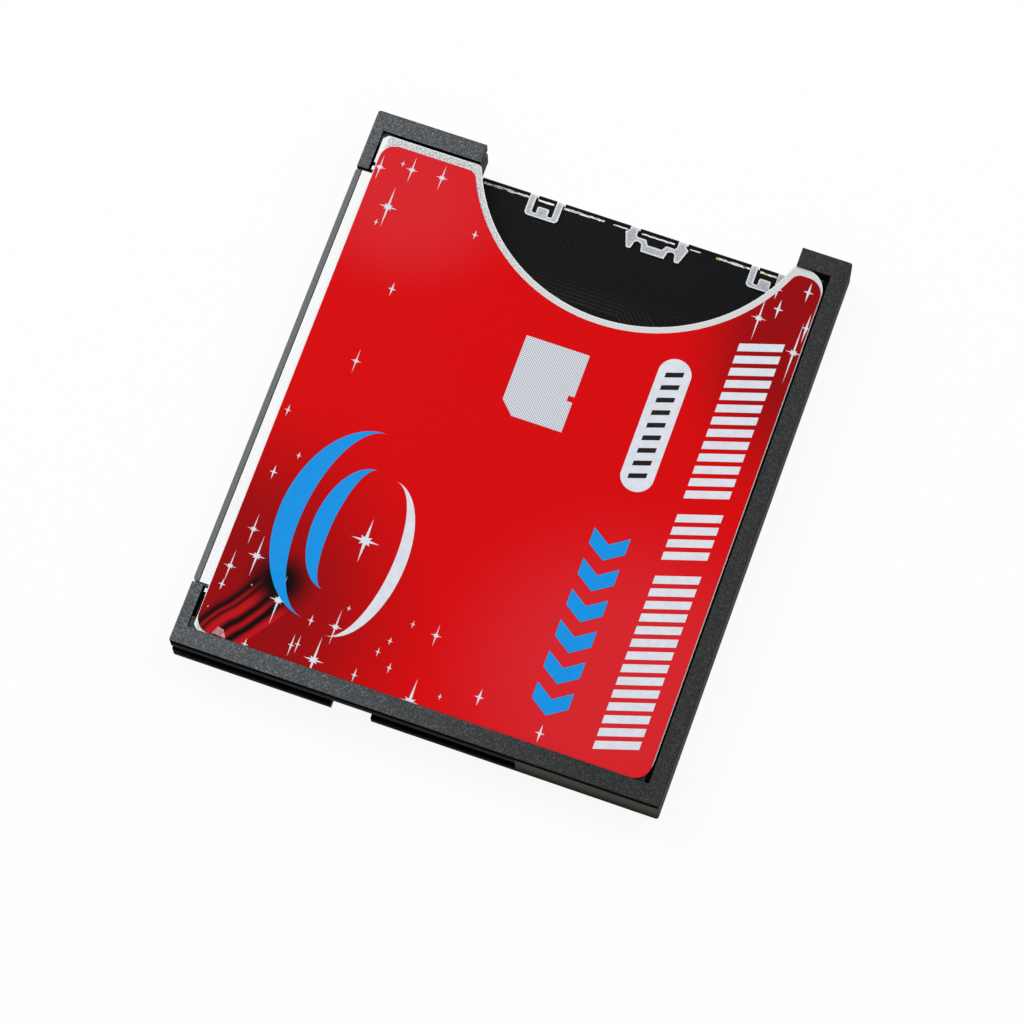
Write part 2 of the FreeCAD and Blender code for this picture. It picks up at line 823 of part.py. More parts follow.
def makeContacts(name, level, reach):
    # One spring contact per hole: a fork for the pin and a tail soldered to the board
    body = newBody(name)
    tip = front + size("TipInset")
    throat = tip + size("ThroatPlace")
    root = throat + size("BeamLength")
    beam = size("BeamThick")
    grip = size("ThroatGap") / 2
    spread = size("ForkGap") / 2
    full = size("HoleSize") / 2
    upper = [
        (connectorRear, level + full),
        (root, level + full),
        (throat, level + grip + beam),
        (tip, level + spread + beam),
        (tip, level + spread),
        (throat, level + grip),
        (root, level + full - beam),
    ]
    lower = [
        (root, level - full + beam),
        (throat, level - grip),
        (tip, level - spread),
        (tip, level - spread - beam),
        (throat, level - grip - beam),
        (root, level - full),
        (connectorRear, level - full),
    ]
    first = -holeSpan / 2
    half = size("ContactWidth") / 2
    fork = pad(body, "fork", upper + lower, first - half, first + half, "XZ_Plane")
    thick = size("TailThick")
    bend = connectorRear + reach
    foot = bend + size("TailFoot")
    strip = [
        (connectorRear, level + thick / 2),
        (bend, level + thick / 2),
        (bend, boardTop + thick),
        (foot, boardTop + thick),
        (foot, boardTop),
        (bend - thick, boardTop),
        (bend - thick, level - thick / 2),
        (connectorRear, level - thick / 2),
    ]
    half = size("TailWidth") / 2
    tail = pad(body, "tail", strip, first - half, first + half, "XZ_Plane")
    repeat(body, [fork, tail], holesPerRow, holeSpan)
    return body


# Springs for the card's contact pads, and the block that holds them
def springPlaces():
    # Middle of each spring in X, and how far it stands back towards the mouth
    eighth = mouthRight - size("EighthPadInset")
    seventh = eighth - size("EighthPadPitch")
    ninth = mouthLeft + size("NinthPadInset")
    pitch = (seventh - ninth) / 7
    places = [(ninth + pitch * step, asSize(0)) for step in range(1, 8)]
    places.append((eighth, asSize(0)))
    places.append((ninth, size("NinthSetBack")))
    return places


def makeBlock():
    body = newBody("card_contact_block")
    blockLeft = mouthLeft + size("BlockClear")
    blockRight = mouthRight - size("BlockClear")
    outline = rectangle(blockLeft, blockRight, blockBack, cardStop)
    pad(body, "block", outline, boardTop, lidUnder)
    half = size("SpringWidth") / 2 + size("SpringClear")
    top = boardTop + size("SpringThick")
    for index, (middle, _) in enumerate(springPlaces(), start=1):
        slot = rectangle(middle - half, middle + half, blockBack - outside, cardStop + outside)
        pocket(body, f"slot_{index}", slot, boardTop - outside, top)
    for index, place in enumerate(pegPlaces()):
        pad(body, f"peg_{index}", (place, size("PegRadius")), filmTop, boardTop)
    return body


def makeSpring(index, middle, setBack):
    body = newBody(f"card_spring_{index}")
    thick = size("SpringThick")
    start = cardStop + size("SpringStart") + setBack
    crest = cardStop + size("SpringReach") + setBack
    nose = crest + size("SpringNose")
    crestLow = boardTop + size("SpringRise")
    noseLow = crestLow - size("SpringDrop")
    outline = [
        (tailEnd, boardTop),
        (start, boardTop),
        (crest, crestLow),
        (nose, noseLow),
        (nose, noseLow + thick),
        (crest, crestLow + thick),
        (start, boardTop + thick),
        (tailEnd, boardTop + thick),
    ]
    half = size("SpringWidth") / 2
    pad(body, "strip", outline, middle - half, middle + half, "YZ_Plane")
    return body


def makeLeaf(name, index):
    # A leaf on the slot's rear wall that the card's edge presses back
    body = newBody(name)
    thick = sheetThick
    start = leafStart(index)
    wall = mouthRight + size("LeafPocket")
    crestX = mouthRight - size("LeafProud")
    crestY = start + size("LeafCrest")
    tipX = mouthRight + size("LeafTipBack")
    tipY = start + size("LeafLength")
    outline = [
        (wall, start),
        (wall, start + size("LeafRoot")),
        (crestX + thick, crestY),
        (tipX + thick, tipY),
        (tipX, tipY),
        (crestX, crestY),
        (wall - thick, start + size("LeafRoot")),
        (wall - thick, start),
    ]
    pad(body, "strip", outline, boardTop, boardTop + size("LeafHeight"))
    return body


# Parts on the board, in the bay behind the card: two by two beside the chip
bayMiddle = ((mouthLeft + bayRear) / 2, (baySide + tailEnd) / 2)
bayEdges = (mouthLeft + size("PartSpacing"), bayRear - size("PartSpacing"))
bayRows = (baySide + size("PartGap"), tailEnd - size("PartGap"))


def makeChip():
    body = newBody("controller_chip")
    top = boardTop + size("ChipHeight")
    pad(body, "package", square(*bayMiddle, size("ChipSide")), boardTop, top)
    reach = size("ChipSide") / 2 - size("ChipMarkRadius") * 2
    mark = ((bayMiddle[0] - reach, bayMiddle[1] + reach), size("ChipMarkRadius"))
    pocket(body, "mark", mark, top - size("ChipMarkDepth"), top + outside)
    return body


def makeRegulator():
    body = newBody("voltage_regulator")
    left = bayEdges[0]
    right = left + size("RegulatorLength")
    low = bayRows[0] + size("LeadReach")
    high = low + size("RegulatorWidth")
    package = rectangle(left, right, low, high)
    pad(body, "package", package, boardTop + sheetThick / 2, boardTop + size("RegulatorHeight"))
    middle = (left + right) / 2
    pitch = size("LeadPitch")
    reach = size("LeadReach")
    half = size("LeadWidth") / 2
    leads = (
        (middle - pitch, low - reach, low),
        (middle + pitch, low - reach, low),
        (middle, high, high + reach),
    )
    for index, (place, bottom, top) in enumerate(leads):
        lead = rectangle(place - half, place + half, bottom, top)
        pad(body, f"lead_{index}", lead, boardTop, boardTop + sheetThick)
    return body


def makeCrystal():
    body = newBody("crystal")
    right = bayEdges[1]
    left = right - size("CrystalLength")
    low = bayRows[0]
    high = low + size("CrystalWidth")
    top = boardTop + size("CrystalHeight")
    rim = size("CrystalRim")
    pad(body, "base", rectangle(left, right, low, high), boardTop, top)
    lid = rectangle(left + rim, right - rim, low + rim, high - rim)
    pad(body, "lid", lid, top, top + size("CrystalLid"))
    return body


def makeChipParts(name, kind, thick, atRear):
    # A row of small parts, each a core with two slightly larger metal ends
    body = newBody(name)
    width = size(f"{kind}Width")
    end = size(f"{kind}End")
    skin = size(f"{kind}Skin")
    count = size(f"{kind}Count")
    span = size(f"{kind}Pitch") * (count - 1)
    left = bayEdges[1] - width - span if atRear else bayEdges[0]
    top = bayRows[1]
    bottom = top - size(f"{kind}Length")
    partTop = boardTop + thick
    core = rectangle(left + skin, left + width - skin, bottom + end, top - end)
    features = [
        pad(body, "low_end", rectangle(left, left + width, bottom, bottom + end), boardTop, partTop),
        pad(body, "high_end", rectangle(left, left + width, top - end, top), boardTop, partTop),
        pad(body, "core", core, boardTop + skin, partTop - skin),
    ]
    repeat(body, features, count, span, "X_Axis")
    return body


bodies = [
    makeFrame(),
    makeTopCover(),
    makeBottomCover(),
    makeLabel(),
    makeFilm(),
    makeBoard(),
    makeHousing(),
    makeContacts("connector_contacts_upper", upperRow, size("UpperTailReach")),
    makeContacts("connector_contacts_lower", lowerRow, size("LowerTailReach")),
    makeBlock(),
]
for index, (middle, setBack) in enumerate(springPlaces(), start=1):
    bodies.append(makeSpring(index, middle, setBack))
bodies += [
    makeLeaf("card_detect_spring", 0),
    makeLeaf("write_protect_spring", 1),
    makeChip(),
    makeRegulator(),
    makeCrystal(),
    makeChipParts("capacitors", "Capacitor", size("CapacitorWidth"), atRear=False),
    makeChipParts("resistors", "Resistor", size("ResistorHeight"), atRear=True),
]

doc.recompute()
for thing in doc.Objects:
    if {"Invalid", "Error"} & set(thing.State):
        raise RuntimeError(f"{thing.Name} is not right: {thing.State}")
for body in bodies:
    if body.Shape.isNull() or not body.Shape.isValid():
        raise RuntimeError(f"{body.Label} has no valid shape")
for body in bodies:
    body.Shape.exportStep(f"parts/{body.Label}.step")
    print(body.Label, len(body.Shape.Solids), round(body.Shape.Volume, 3))
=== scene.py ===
import math
import random
import bpy
from mathutils import Matrix, Vector


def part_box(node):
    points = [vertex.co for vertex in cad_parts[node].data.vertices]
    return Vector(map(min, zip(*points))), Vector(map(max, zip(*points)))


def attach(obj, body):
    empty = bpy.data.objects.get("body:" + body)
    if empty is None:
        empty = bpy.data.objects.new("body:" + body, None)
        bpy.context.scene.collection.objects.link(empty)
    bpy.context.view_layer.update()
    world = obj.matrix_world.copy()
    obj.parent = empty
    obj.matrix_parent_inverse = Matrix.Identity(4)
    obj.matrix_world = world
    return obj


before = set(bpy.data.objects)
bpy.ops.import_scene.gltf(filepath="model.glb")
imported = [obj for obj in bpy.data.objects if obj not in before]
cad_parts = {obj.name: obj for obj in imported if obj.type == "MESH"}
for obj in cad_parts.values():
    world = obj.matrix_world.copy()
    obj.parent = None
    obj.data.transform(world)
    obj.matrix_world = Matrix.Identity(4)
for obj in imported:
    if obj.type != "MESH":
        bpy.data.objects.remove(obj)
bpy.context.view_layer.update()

mm = 0.001               # the CAD sizes below are in millimetres, Blender's are in metres
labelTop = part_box("label")[1].z / mm
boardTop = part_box("circuit_board")[1].z / mm


# camera

# lengths in mm, angles in degrees
cameraFit = {
    "azimuth": 22.542, "elevation": 71.870, "roll": -3.014,
    "distance": 311.04, "target": (1.157, -3.980, 1.65),
    "lens": 153.68, "sensor": 36.0, "near": 5.0, "far": 20000.0,
}


def makeCamera(fit):
    turn, rise, roll = (math.radians(fit[k]) for k in ("azimuth", "elevation", "roll"))
    back = Vector((math.sin(turn) * math.cos(rise), -math.cos(turn) * math.cos(rise), math.sin(rise)))
    right = (-back).cross(Vector((0, 0, 1))).normalized()
    up = right.cross(-back)
    sideways = right * math.cos(roll) + up * math.sin(roll)
    upwards = up * math.cos(roll) - right * math.sin(roll)
    bpy.ops.object.camera_add()
    camera = bpy.context.object
    camera.data.sensor_width = fit["sensor"]
    camera.data.lens = fit["lens"]
    camera.data.clip_start = fit["near"] * mm
    camera.data.clip_end = fit["far"] * mm
    place = Matrix((sideways, upwards, back)).transposed().to_4x4()
    place.translation = (Vector(fit["target"]) + back * fit["distance"]) * mm
    camera.matrix_world = place
    bpy.context.scene.camera = camera


makeCamera(cameraFit)
print("camera is set")


# materials

def hexColor(code):
    # sRGB hex to linear RGBA
    parts = [int(code[i:i + 2], 16) / 255 for i in (1, 3, 5)]
    return [c / 12.92 if c <= 0.04045 else ((c + 0.055) / 1.055) ** 2.4 for c in parts] + [1.0]


def setNode(tree, node, settings):
    # capital or numbered settings are sockets, which take a value, a hex colour or what feeds them: an output,
    # or a node whose first working output is meant
    for key, value in settings.items():
        if isinstance(key, str) and key[0].islower():
            setattr(node, key, value)
            continue
        if isinstance(value, bpy.types.Node):
            value = next(output for output in value.outputs if output.enabled)
        if isinstance(value, bpy.types.NodeSocket):
            tree.links.new(value, node.inputs[key])
        else:
            node.inputs[key].default_value = hexColor(value) if isinstance(value, str) else value


def addNode(tree, kind, settings=None):
    node = tree.nodes.new("ShaderNode" + kind)
    setNode(tree, node, settings or {})
    return node


def newMaterial(name, settings):
    material = bpy.data.materials.new(name)
    material.use_nodes = True
    tree = material.node_tree
    tree.nodes.clear()
    surface = addNode(tree, "BsdfPrincipled", settings)
    addNode(tree, "OutputMaterial", {"Surface": surface})
    place = addNode(tree, "TexCoord").outputs["Object"]
    inMm = addNode(tree, "Mapping", {"Scale": (1000, 1000, 1000), "Vector": place})
    return material, tree, surface, inMm


softStep = {"interpolation_type": "SMOOTHSTEP"}     # goes softly from one value to another
twoColors = {"data_type": "RGBA"}                   # 6 and 7 are the colours, 0 is the share of the second


def faceTurn(tree):
    # the way a face looks, as its x, y and z
    flat = addNode(tree, "NewGeometry").outputs["True Normal"]
    return addNode(tree, "SeparateXYZ", {"Vector": flat}).outputs


def dotScreen(tree, place, pitch):
    # print dots in a square screen, from -1 to 1
    split = addNode(tree, "SeparateXYZ", {"Vector": place}).outputs
    waves = []
    for axis in ("X", "Y"):
        turns = addNode(tree, "Math", {"operation": "MULTIPLY", 0: split[axis], 1: 2 * math.pi / pitch})
        waves.append(addNode(tree, "Math", {"operation": "SINE", 0: turns}))
    return addNode(tree, "Math", {"operation": "MULTIPLY", 0: waves[0], 1: waves[1]})


def edgeMask(tree, radius):
    # 1 along the edges of a piece, as wide as the radius in mm
    rounded = addNode(tree, "Bevel", {"samples": 4, "Radius": radius * mm})
    flat = addNode(tree, "NewGeometry").outputs["True Normal"]
    turned = addNode(tree, "VectorMath", {"operation": "DOT_PRODUCT", 0: rounded, 1: flat})
    return addNode(tree, "MapRange", softStep | {"Value": turned, "From Min": 0.998, "From Max": 0.95})


def boxMask(tree, place, limits):
    # 1 within some limits, each an axis, the place where the mask is 0 and the place where it is 1, in mm
    split = addNode(tree, "SeparateXYZ", {"Vector": place}).outputs
    mask = None
    for axis, outside, inside in limits:
        step = addNode(tree, "MapRange", softStep | {"Value": split[axis], "From Min": outside,
                                                     "From Max": inside})
        mask = addNode(tree, "Math", {"operation": "MULTIPLY", 0: mask, 1: step}) if mask else step
    return mask


framePlasticLook = {
    # painted sheen: left, right, speckLeft and speckRight paint the top paler at the connector side and darker
    # towards the right, across span
    "left": "#3F4346", "right": "#151616", "speckLeft": "#8F9499", "speckRight": "#4B4D4E",
    "span": (-19.0, 15.0), "grainSize": 0.13, "speckPitch": 0.095, "lumpSize": 0.35, "rough": 0.5,
    # painted shade and painted highlight on the bevel: outline is dark, outlineLeft is pale at the connector
    # side
    "outline": "#0C0C0C", "outlineLeft": "#A8A59C",
    # painted shade: flank paints the flanks near black, flankRight paints them lighter towards the right, and
    # flankEnd paints a lit end face
    "flank": "#080808", "flankRight": "#32302C", "rightSpan": (4.0, 9.0),
    "flankEnd": "#3E4144", "endSpan": (-11.0, -10.0), "shine": 0.3, "flankShine": 0.004,
}

# the long flank in mm: two rails as far as the groove's end, solid plastic after it, and shade under the bevel
longFlankLook = {
    "outer": [(1, -21.33, -21.38)], "rail": "#454341", "lowRail": (0.75, 0.45), "highRail": (1.9, 2.1),
    "grooveEnd": (7.5, 7.7), "solidLow": "#4A4843", "solidHigh": "#6E6B64", "solidSpan": (0.2, 2.3),
    "shade": (2.6, 3.05),
    "groove": [(0, 7.8, 7.6), (1, -21.399, -21.38), (1, -20.55, -20.7), (2, 0.85, 0.95), (2, 2.3, 2.2)],
}


def speckledTop(tree, place, fine, look):
    # a speck is a cell of its own brightness, and only the brighter cells show
    cells = addNode(tree, "TexVoronoi", {"Vector": place, "Scale": 1 / look["speckPitch"],
                                         "Randomness": 1.0}).outputs
    cellTone = addNode(tree, "SeparateColor", {"Color": cells["Color"]})
    near = addNode(tree, "MapRange", softStep | {"Value": cells["Distance"], "From Min": 0.62,
                                                 "From Max": 0.22})
    bright = addNode(tree, "MapRange", softStep | {"Value": cellTone, "From Min": 0.35, "From Max": 1.0})
    dots = addNode(tree, "Math", {"operation": "MULTIPLY", 0: near, 1: bright})
    dust = addNode(tree, "MapRange", softStep | {"Value": fine, "From Min": 0.42, "From Max": 0.7,
                                                 "To Max": 0.35})
    specks = addNode(tree, "Math", {"operation": "ADD", 0: dots, 1: dust})
    # painted sheen: the top and its specks go from the paler left colours to the darker right ones
    along = addNode(tree, "SeparateXYZ", {"Vector": place}).outputs["X"]
    across = addNode(tree, "MapRange", softStep | {"Value": along, "From Min": look["span"][0],
                                                   "From Max": look["span"][1]})
    body = addNode(tree, "Mix", twoColors | {0: across, 6: look["left"], 7: look["right"]})
    speck = addNode(tree, "Mix", twoColors | {0: across, 6: look["speckLeft"], 7: look["speckRight"]})
    coarse = addNode(tree, "TexNoise", {"Vector": place, "Scale": 1 / look["lumpSize"]})
    lumps = addNode(tree, "MapRange", softStep | {"Value": coarse, "From Min": 0.35, "From Max": 0.65,
                                                  "To Min": 0.65, "To Max": 1.1})
    share = addNode(tree, "Math", {"operation": "MULTIPLY", 0: specks, 1: lumps})
    top = addNode(tree, "Mix", twoColors | {0: share, 6: body, 7: speck})
    # the small bevel round the top: painted shade makes it dark, and a painted highlight makes it pale at the
    # connector side
    turned = faceTurn(tree)
    litBevel = addNode(tree, "MapRange", softStep | {"Value": turned["X"], "From Min": -0.4, "From Max": -0.65})
    pale = addNode(tree, "Mix", twoColors | {0: specks, 6: look["left"], 7: look["outlineLeft"]})
    outline = addNode(tree, "Mix", twoColors | {0: litBevel, 6: look["outline"], 7: pale})
    level = addNode(tree, "Math", {"operation": "ABSOLUTE", 0: turned["Z"]})
    slanted = addNode(tree, "MapRange", softStep | {"Value": level, "From Min": 0.97, "From Max": 0.85})
    return addNode(tree, "Mix", twoColors | {0: slanted, 6: top, 7: outline})


def longFlankColor(tree, place, dark, spec):
    # paler where the table lights it, and black in the shade of the bevel
    split = addNode(tree, "SeparateXYZ", {"Vector": place}).outputs
    steps = {}
    for part, axis in (("lowRail", "Z"), ("highRail", "Z"), ("solidSpan", "Z"), ("grooveEnd", "X"),
                       ("shade", "Z")):
        steps[part] = addNode(tree, "MapRange", softStep | {"Value": split[axis], "From Min": spec[part][0],
                                                            "From Max": spec[part][1]})
    lit = addNode(tree, "Math", {"operation": "ADD", 0: steps["lowRail"], 1: steps["highRail"]})
    rails = addNode(tree, "Mix", twoColors | {0: lit, 6: dark, 7: spec["rail"]})
    solid = addNode(tree, "Mix", twoColors | {0: steps["solidSpan"], 6: spec["solidLow"], 7: spec["solidHigh"]})
    color = addNode(tree, "Mix", twoColors | {0: steps["grooveEnd"], 6: rails, 7: solid})
    return addNode(tree, "Mix", twoColors | {0: steps["shade"], 6: color, 7: dark})


def makeFramePlastic(look, longFlank):
    # glass-filled PBT moulded in a spark-eroded tool: satin black with fine pale specks, with a painted sheen
    # that makes the top paler at the connector side, and painted shade that makes the flanks plain black
    material, tree, surface, place = newMaterial("mouldedBlackPbt", {"Roughness": look["rough"], "IOR": 1.5})
    fine = addNode(tree, "TexNoise", {"Vector": place, "Scale": 1 / look["grainSize"], "Detail": 4.0,
                                      "Roughness": 0.7})
    along = addNode(tree, "SeparateXYZ", {"Vector": place}).outputs["X"]
    turned = faceTurn(tree)
    level = addNode(tree, "Math", {"operation": "ABSOLUTE", 0: turned["Z"]})
    flank = addNode(tree, "MapRange", softStep | {"Value": level, "From Min": 0.4, "From Max": 0.2})
    toRight = addNode(tree, "MapRange", softStep | {"Value": along, "From Min": look["rightSpan"][0],
                                                    "From Max": look["rightSpan"][1]})
    # painted shade: the flanks are painted near black, lighter towards the right
    side = addNode(tree, "Mix", twoColors | {0: toRight, 6: look["flank"], 7: look["flankRight"]})
    # painted light: end faces that face +x beyond endSpan are painted lighter
    faced = addNode(tree, "MapRange", softStep | {"Value": turned["X"], "From Min": 0.3, "From Max": 0.8})
    beyond = addNode(tree, "MapRange", softStep | {"Value": along, "From Min": look["endSpan"][0],
                                                   "From Max": look["endSpan"][1]})
    endFace = addNode(tree, "Math", {"operation": "MULTIPLY", 0: faced, 1: beyond})
    side = addNode(tree, "Mix", twoColors | {0: endFace, 6: side, 7: look["flankEnd"]})
    # the long outer flank takes the painted light and shade of longFlankColor
    faced = addNode(tree, "MapRange", softStep | {"Value": turned["Y"], "From Min": -0.5, "From Max": -0.8})
    outside = boxMask(tree, place, longFlank["outer"])
    outer = addNode(tree, "Math", {"operation": "MULTIPLY", 0: faced, 1: outside})
    longColor = longFlankColor(tree, place, look["flank"], longFlank)
    side = addNode(tree, "Mix", twoColors | {0: outer, 6: side, 7: longColor})
    # painted shade: the groove is painted black
    groove = boxMask(tree, place, longFlank["groove"])
    skin = addNode(tree, "Mix", twoColors | {0: flank, 6: speckledTop(tree, place, fine, look), 7: side})
    skin = addNode(tree, "Mix", twoColors | {0: groove, 6: skin, 7: look["flank"]})
    # a flank seen this flat would mirror the table, which the real one doesn't
    shady = addNode(tree, "Math", {"operation": "MAXIMUM", 0: outer, 1: groove})
    unshaded = addNode(tree, "MapRange", softStep | {"Value": shady, "To Min": 1.0, "To Max": 0.0})
    shine = addNode(tree, "MapRange", softStep | {"Value": flank, "To Min": look["shine"],
                                                  "To Max": look["flankShine"]})
    shine = addNode(tree, "Math", {"operation": "MULTIPLY", 0: shine, 1: unshaded})
    relief = addNode(tree, "Bump", {"Strength": 0.8, "Distance": 0.03 * mm, "Height": fine})
    setNode(tree, surface, {"Base Color": skin, "Specular IOR Level": shine, "Normal": relief})
    return material


coverSteelLook = {
    # painted reflection: the tongue's near-white colour, and the grain's fade over dullSpan; painted highlight:
    # the edge colour
    "body": "#E6E7E8", "dull": "#969A9E", "edge": "#FAFAFA", "front": "#F1F2F3",
    "frontSpan": (-16.6, -16.95), "dullSpan": (-13.0, 5.0), "edgeWidth": 0.16, "grainSize": 0.12, "rough": 0.46,
}

# the same sheet as a shaded copy: painted greyer than the cover, with whiter painted highlights along its
# edges, and black over its floor's margin at the mouth
tabSteelLook = coverSteelLook | {
    "body": "#C9CCD0", "dull": "#A2A6AB", "edge": "#FFFFFF", "dullSpan": (14.0, 30.0), "edgeWidth": 0.24,
    "marginBlack": "#141110", "margin": [(1, 19.6, 19.7), (2, 0.27, 0.22)],
}


def makeCoverSteel(look):
    # tinned steel sheet stamped from blasted rolls: silver with a dull fine grain, and painted highlights along
    # its edges
    settings = {"Roughness": look["rough"], "Metallic": 1.0}
    material, tree, surface, place = newMaterial("stampedTinnedSteel", settings)
    fine = addNode(tree, "TexNoise", {"Vector": place, "Scale": 1 / look["grainSize"], "Detail": 3.0,
                                      "Roughness": 0.65})
    along = addNode(tree, "SeparateXYZ", {"Vector": place}).outputs["X"]
    # painted reflection: the dull grain fades along x over dullSpan, so the sheet is painted brighter towards
    # the right
    reflectionFade = addNode(tree, "MapRange", softStep | {"Value": along, "From Min": look["dullSpan"][0],
                                                    "From Max": look["dullSpan"][1], "To Min": 1.0,
                                                    "To Max": 0.25})
    dark = addNode(tree, "MapRange", softStep | {"Value": fine, "From Min": 0.42, "From Max": 0.62})
    dull = addNode(tree, "Math", {"operation": "MULTIPLY", 0: dark, 1: reflectionFade})
    sheet = addNode(tree, "Mix", twoColors | {0: dull, 6: look["body"], 7: look["dull"]})
    # painted reflection: the tongue at the connector is painted near white
    tongue = addNode(tree, "MapRange", softStep | {"Value": along, "From Min": look["frontSpan"][0],
                                                   "From Max": look["frontSpan"][1]})
    sheet = addNode(tree, "Mix", twoColors | {0: tongue, 6: sheet, 7: look["front"]})
    # painted highlight: white along the sheet's edges
    sheet = addNode(tree, "Mix", twoColors | {0: edgeMask(tree, look["edgeWidth"]), 6: sheet, 7: look["edge"]})
    # black over the floor's margin at the mouth, where the sheet has no metal shine
    if "marginBlack" in look:
        margin = boxMask(tree, place, look["margin"])
        sheet = addNode(tree, "Mix", twoColors | {0: margin, 6: sheet, 7: look["marginBlack"]})
        bare = addNode(tree, "MapRange", softStep | {"Value": margin, "To Min": 1.0, "To Max": 0.0})
        setNode(tree, surface, {"Metallic": bare})
    mottled = addNode(tree, "MapRange", softStep | {"Value": fine, "From Min": 0.3, "From Max": 0.7,
                                                    "To Min": look["rough"] - 0.08,
                                                    "To Max": look["rough"] + 0.12})
    relief = addNode(tree, "Bump", {"Strength": 0.5, "Distance": 0.012 * mm, "Height": fine})
    setNode(tree, surface, {"Base Color": sheet, "Roughness": mottled, "Normal": relief})
    return material


labelFoilLook = {
    "red": "#DA0508", "sheenRed": "#DB252D", "dark": "#8C080C", "edge": "#7A4630",
    "rough": 0.14, "screenPitch": 0.19, "dots": (-0.34, 0.3), "waveSize": 8.33,
    # fields of colour: x, y, half width and half depth in mm
    "darkCorners": [(17.2, 15.5, 10.0, 15.0), (-17.0, -18.0, 18.0, 18.0)],
    # the lighter fields are painted reflection
    "sheenFields": [(-14.0, 16.0, 10.0, 9.0), (12.5, -14.0, 15.0, 15.0)],
}

# satin in long folds: how they run in degrees, then the shade at each place across them in mm
labelFolds = {
    "turn": 56.0, "low": -0.4, "high": 3.8, "reach": (-19.4, -20.6), "sway": 0.16, "swaySize": 3.0,
    "shades": [(-0.05, "#C4101A"), (0.2, "#B8101A"), (0.5, "#120405"), (0.78, "#1C0608"), (1.05, "#BC1119"),
               (1.22, "#8A0D13"), (1.4, "#120405"), (1.62, "#2A070A"), (1.95, "#C41219"), (2.25, "#B81118"),
               (2.5, "#2A070A"), (2.72, "#A01118"), (2.95, "#180507"), (3.15, "#24070A"), (3.5, "#74090F")],
    "hollow": (-12.4, -14.7, 3.0, 2.8), "hollowColor": "#12060A",
}


def fieldMask(tree, place, field):
    # one soft oval field of colour: 1 in its middle and 0 outside
    x, y, wide, deep = field
    centred = addNode(tree, "Mapping", {"Location": (-x / wide, -y / deep, 0),
                                        "Scale": (1 / wide, 1 / deep, 0), "Vector": place})
    far = addNode(tree, "VectorMath", {"operation": "LENGTH", 0: centred})
    return addNode(tree, "MapRange", softStep | {"Value": far, "From Min": 1.0, "From Max": 0.25})


def foldedSatin(tree, place, color, folds):
    # lays the folds over the colour: a ramp across them, bent a little by slow noise, black where they meet
    turned = addNode(tree, "Mapping", {"Rotation": (0, 0, -math.radians(folds["turn"])), "Vector": place})
    split = addNode(tree, "SeparateXYZ", {"Vector": turned}).outputs
    slow = addNode(tree, "TexNoise", {"Vector": place, "Scale": 1 / folds["swaySize"], "Detail": 1.0})
    sway = addNode(tree, "MapRange", softStep | {"Value": slow, "From Min": 0.3, "From Max": 0.7,
                                                 "To Min": -folds["sway"] / 2, "To Max": folds["sway"] / 2})
    across = addNode(tree, "Math", {"operation": "ADD", 0: split["Y"], 1: sway})
    span = folds["high"] - folds["low"]
    share = addNode(tree, "Math", {"operation": "SUBTRACT", 0: across, 1: folds["low"]})
    share = addNode(tree, "Math", {"operation": "DIVIDE", 0: share, 1: span})
    shades = addNode(tree, "ValToRGB", {0: share})
    stops = shades.color_ramp.elements
    stops.remove(stops[1])
    for number, (spot, code) in enumerate(folds["shades"]):
        position = (spot - folds["low"]) / span
        stop = stops[0] if number == 0 else stops.new(position)
        stop.position = position
        stop.color = hexColor(code)
    sharpSide = addNode(tree, "MapRange", softStep | {"Value": across, "From Min": -0.2, "From Max": -0.1})
    softSide = addNode(tree, "MapRange", softStep | {"Value": across, "From Min": folds["high"],
                                                     "From Max": folds["high"] - 0.8})
    reach = addNode(tree, "MapRange", softStep | {"Value": split["X"], "From Min": folds["reach"][0],
                                                  "From Max": folds["reach"][1]})
    mask = addNode(tree, "Math", {"operation": "MULTIPLY", 0: sharpSide, 1: softSide})
    mask = addNode(tree, "Math", {"operation": "MULTIPLY", 0: mask, 1: reach})
    color = addNode(tree, "Mix", twoColors | {0: mask, 6: color, 7: shades})
    hollow = fieldMask(tree, place, folds["hollow"])
    return addNode(tree, "Mix", twoColors | {0: hollow, 6: color, 7: folds["hollowColor"]})


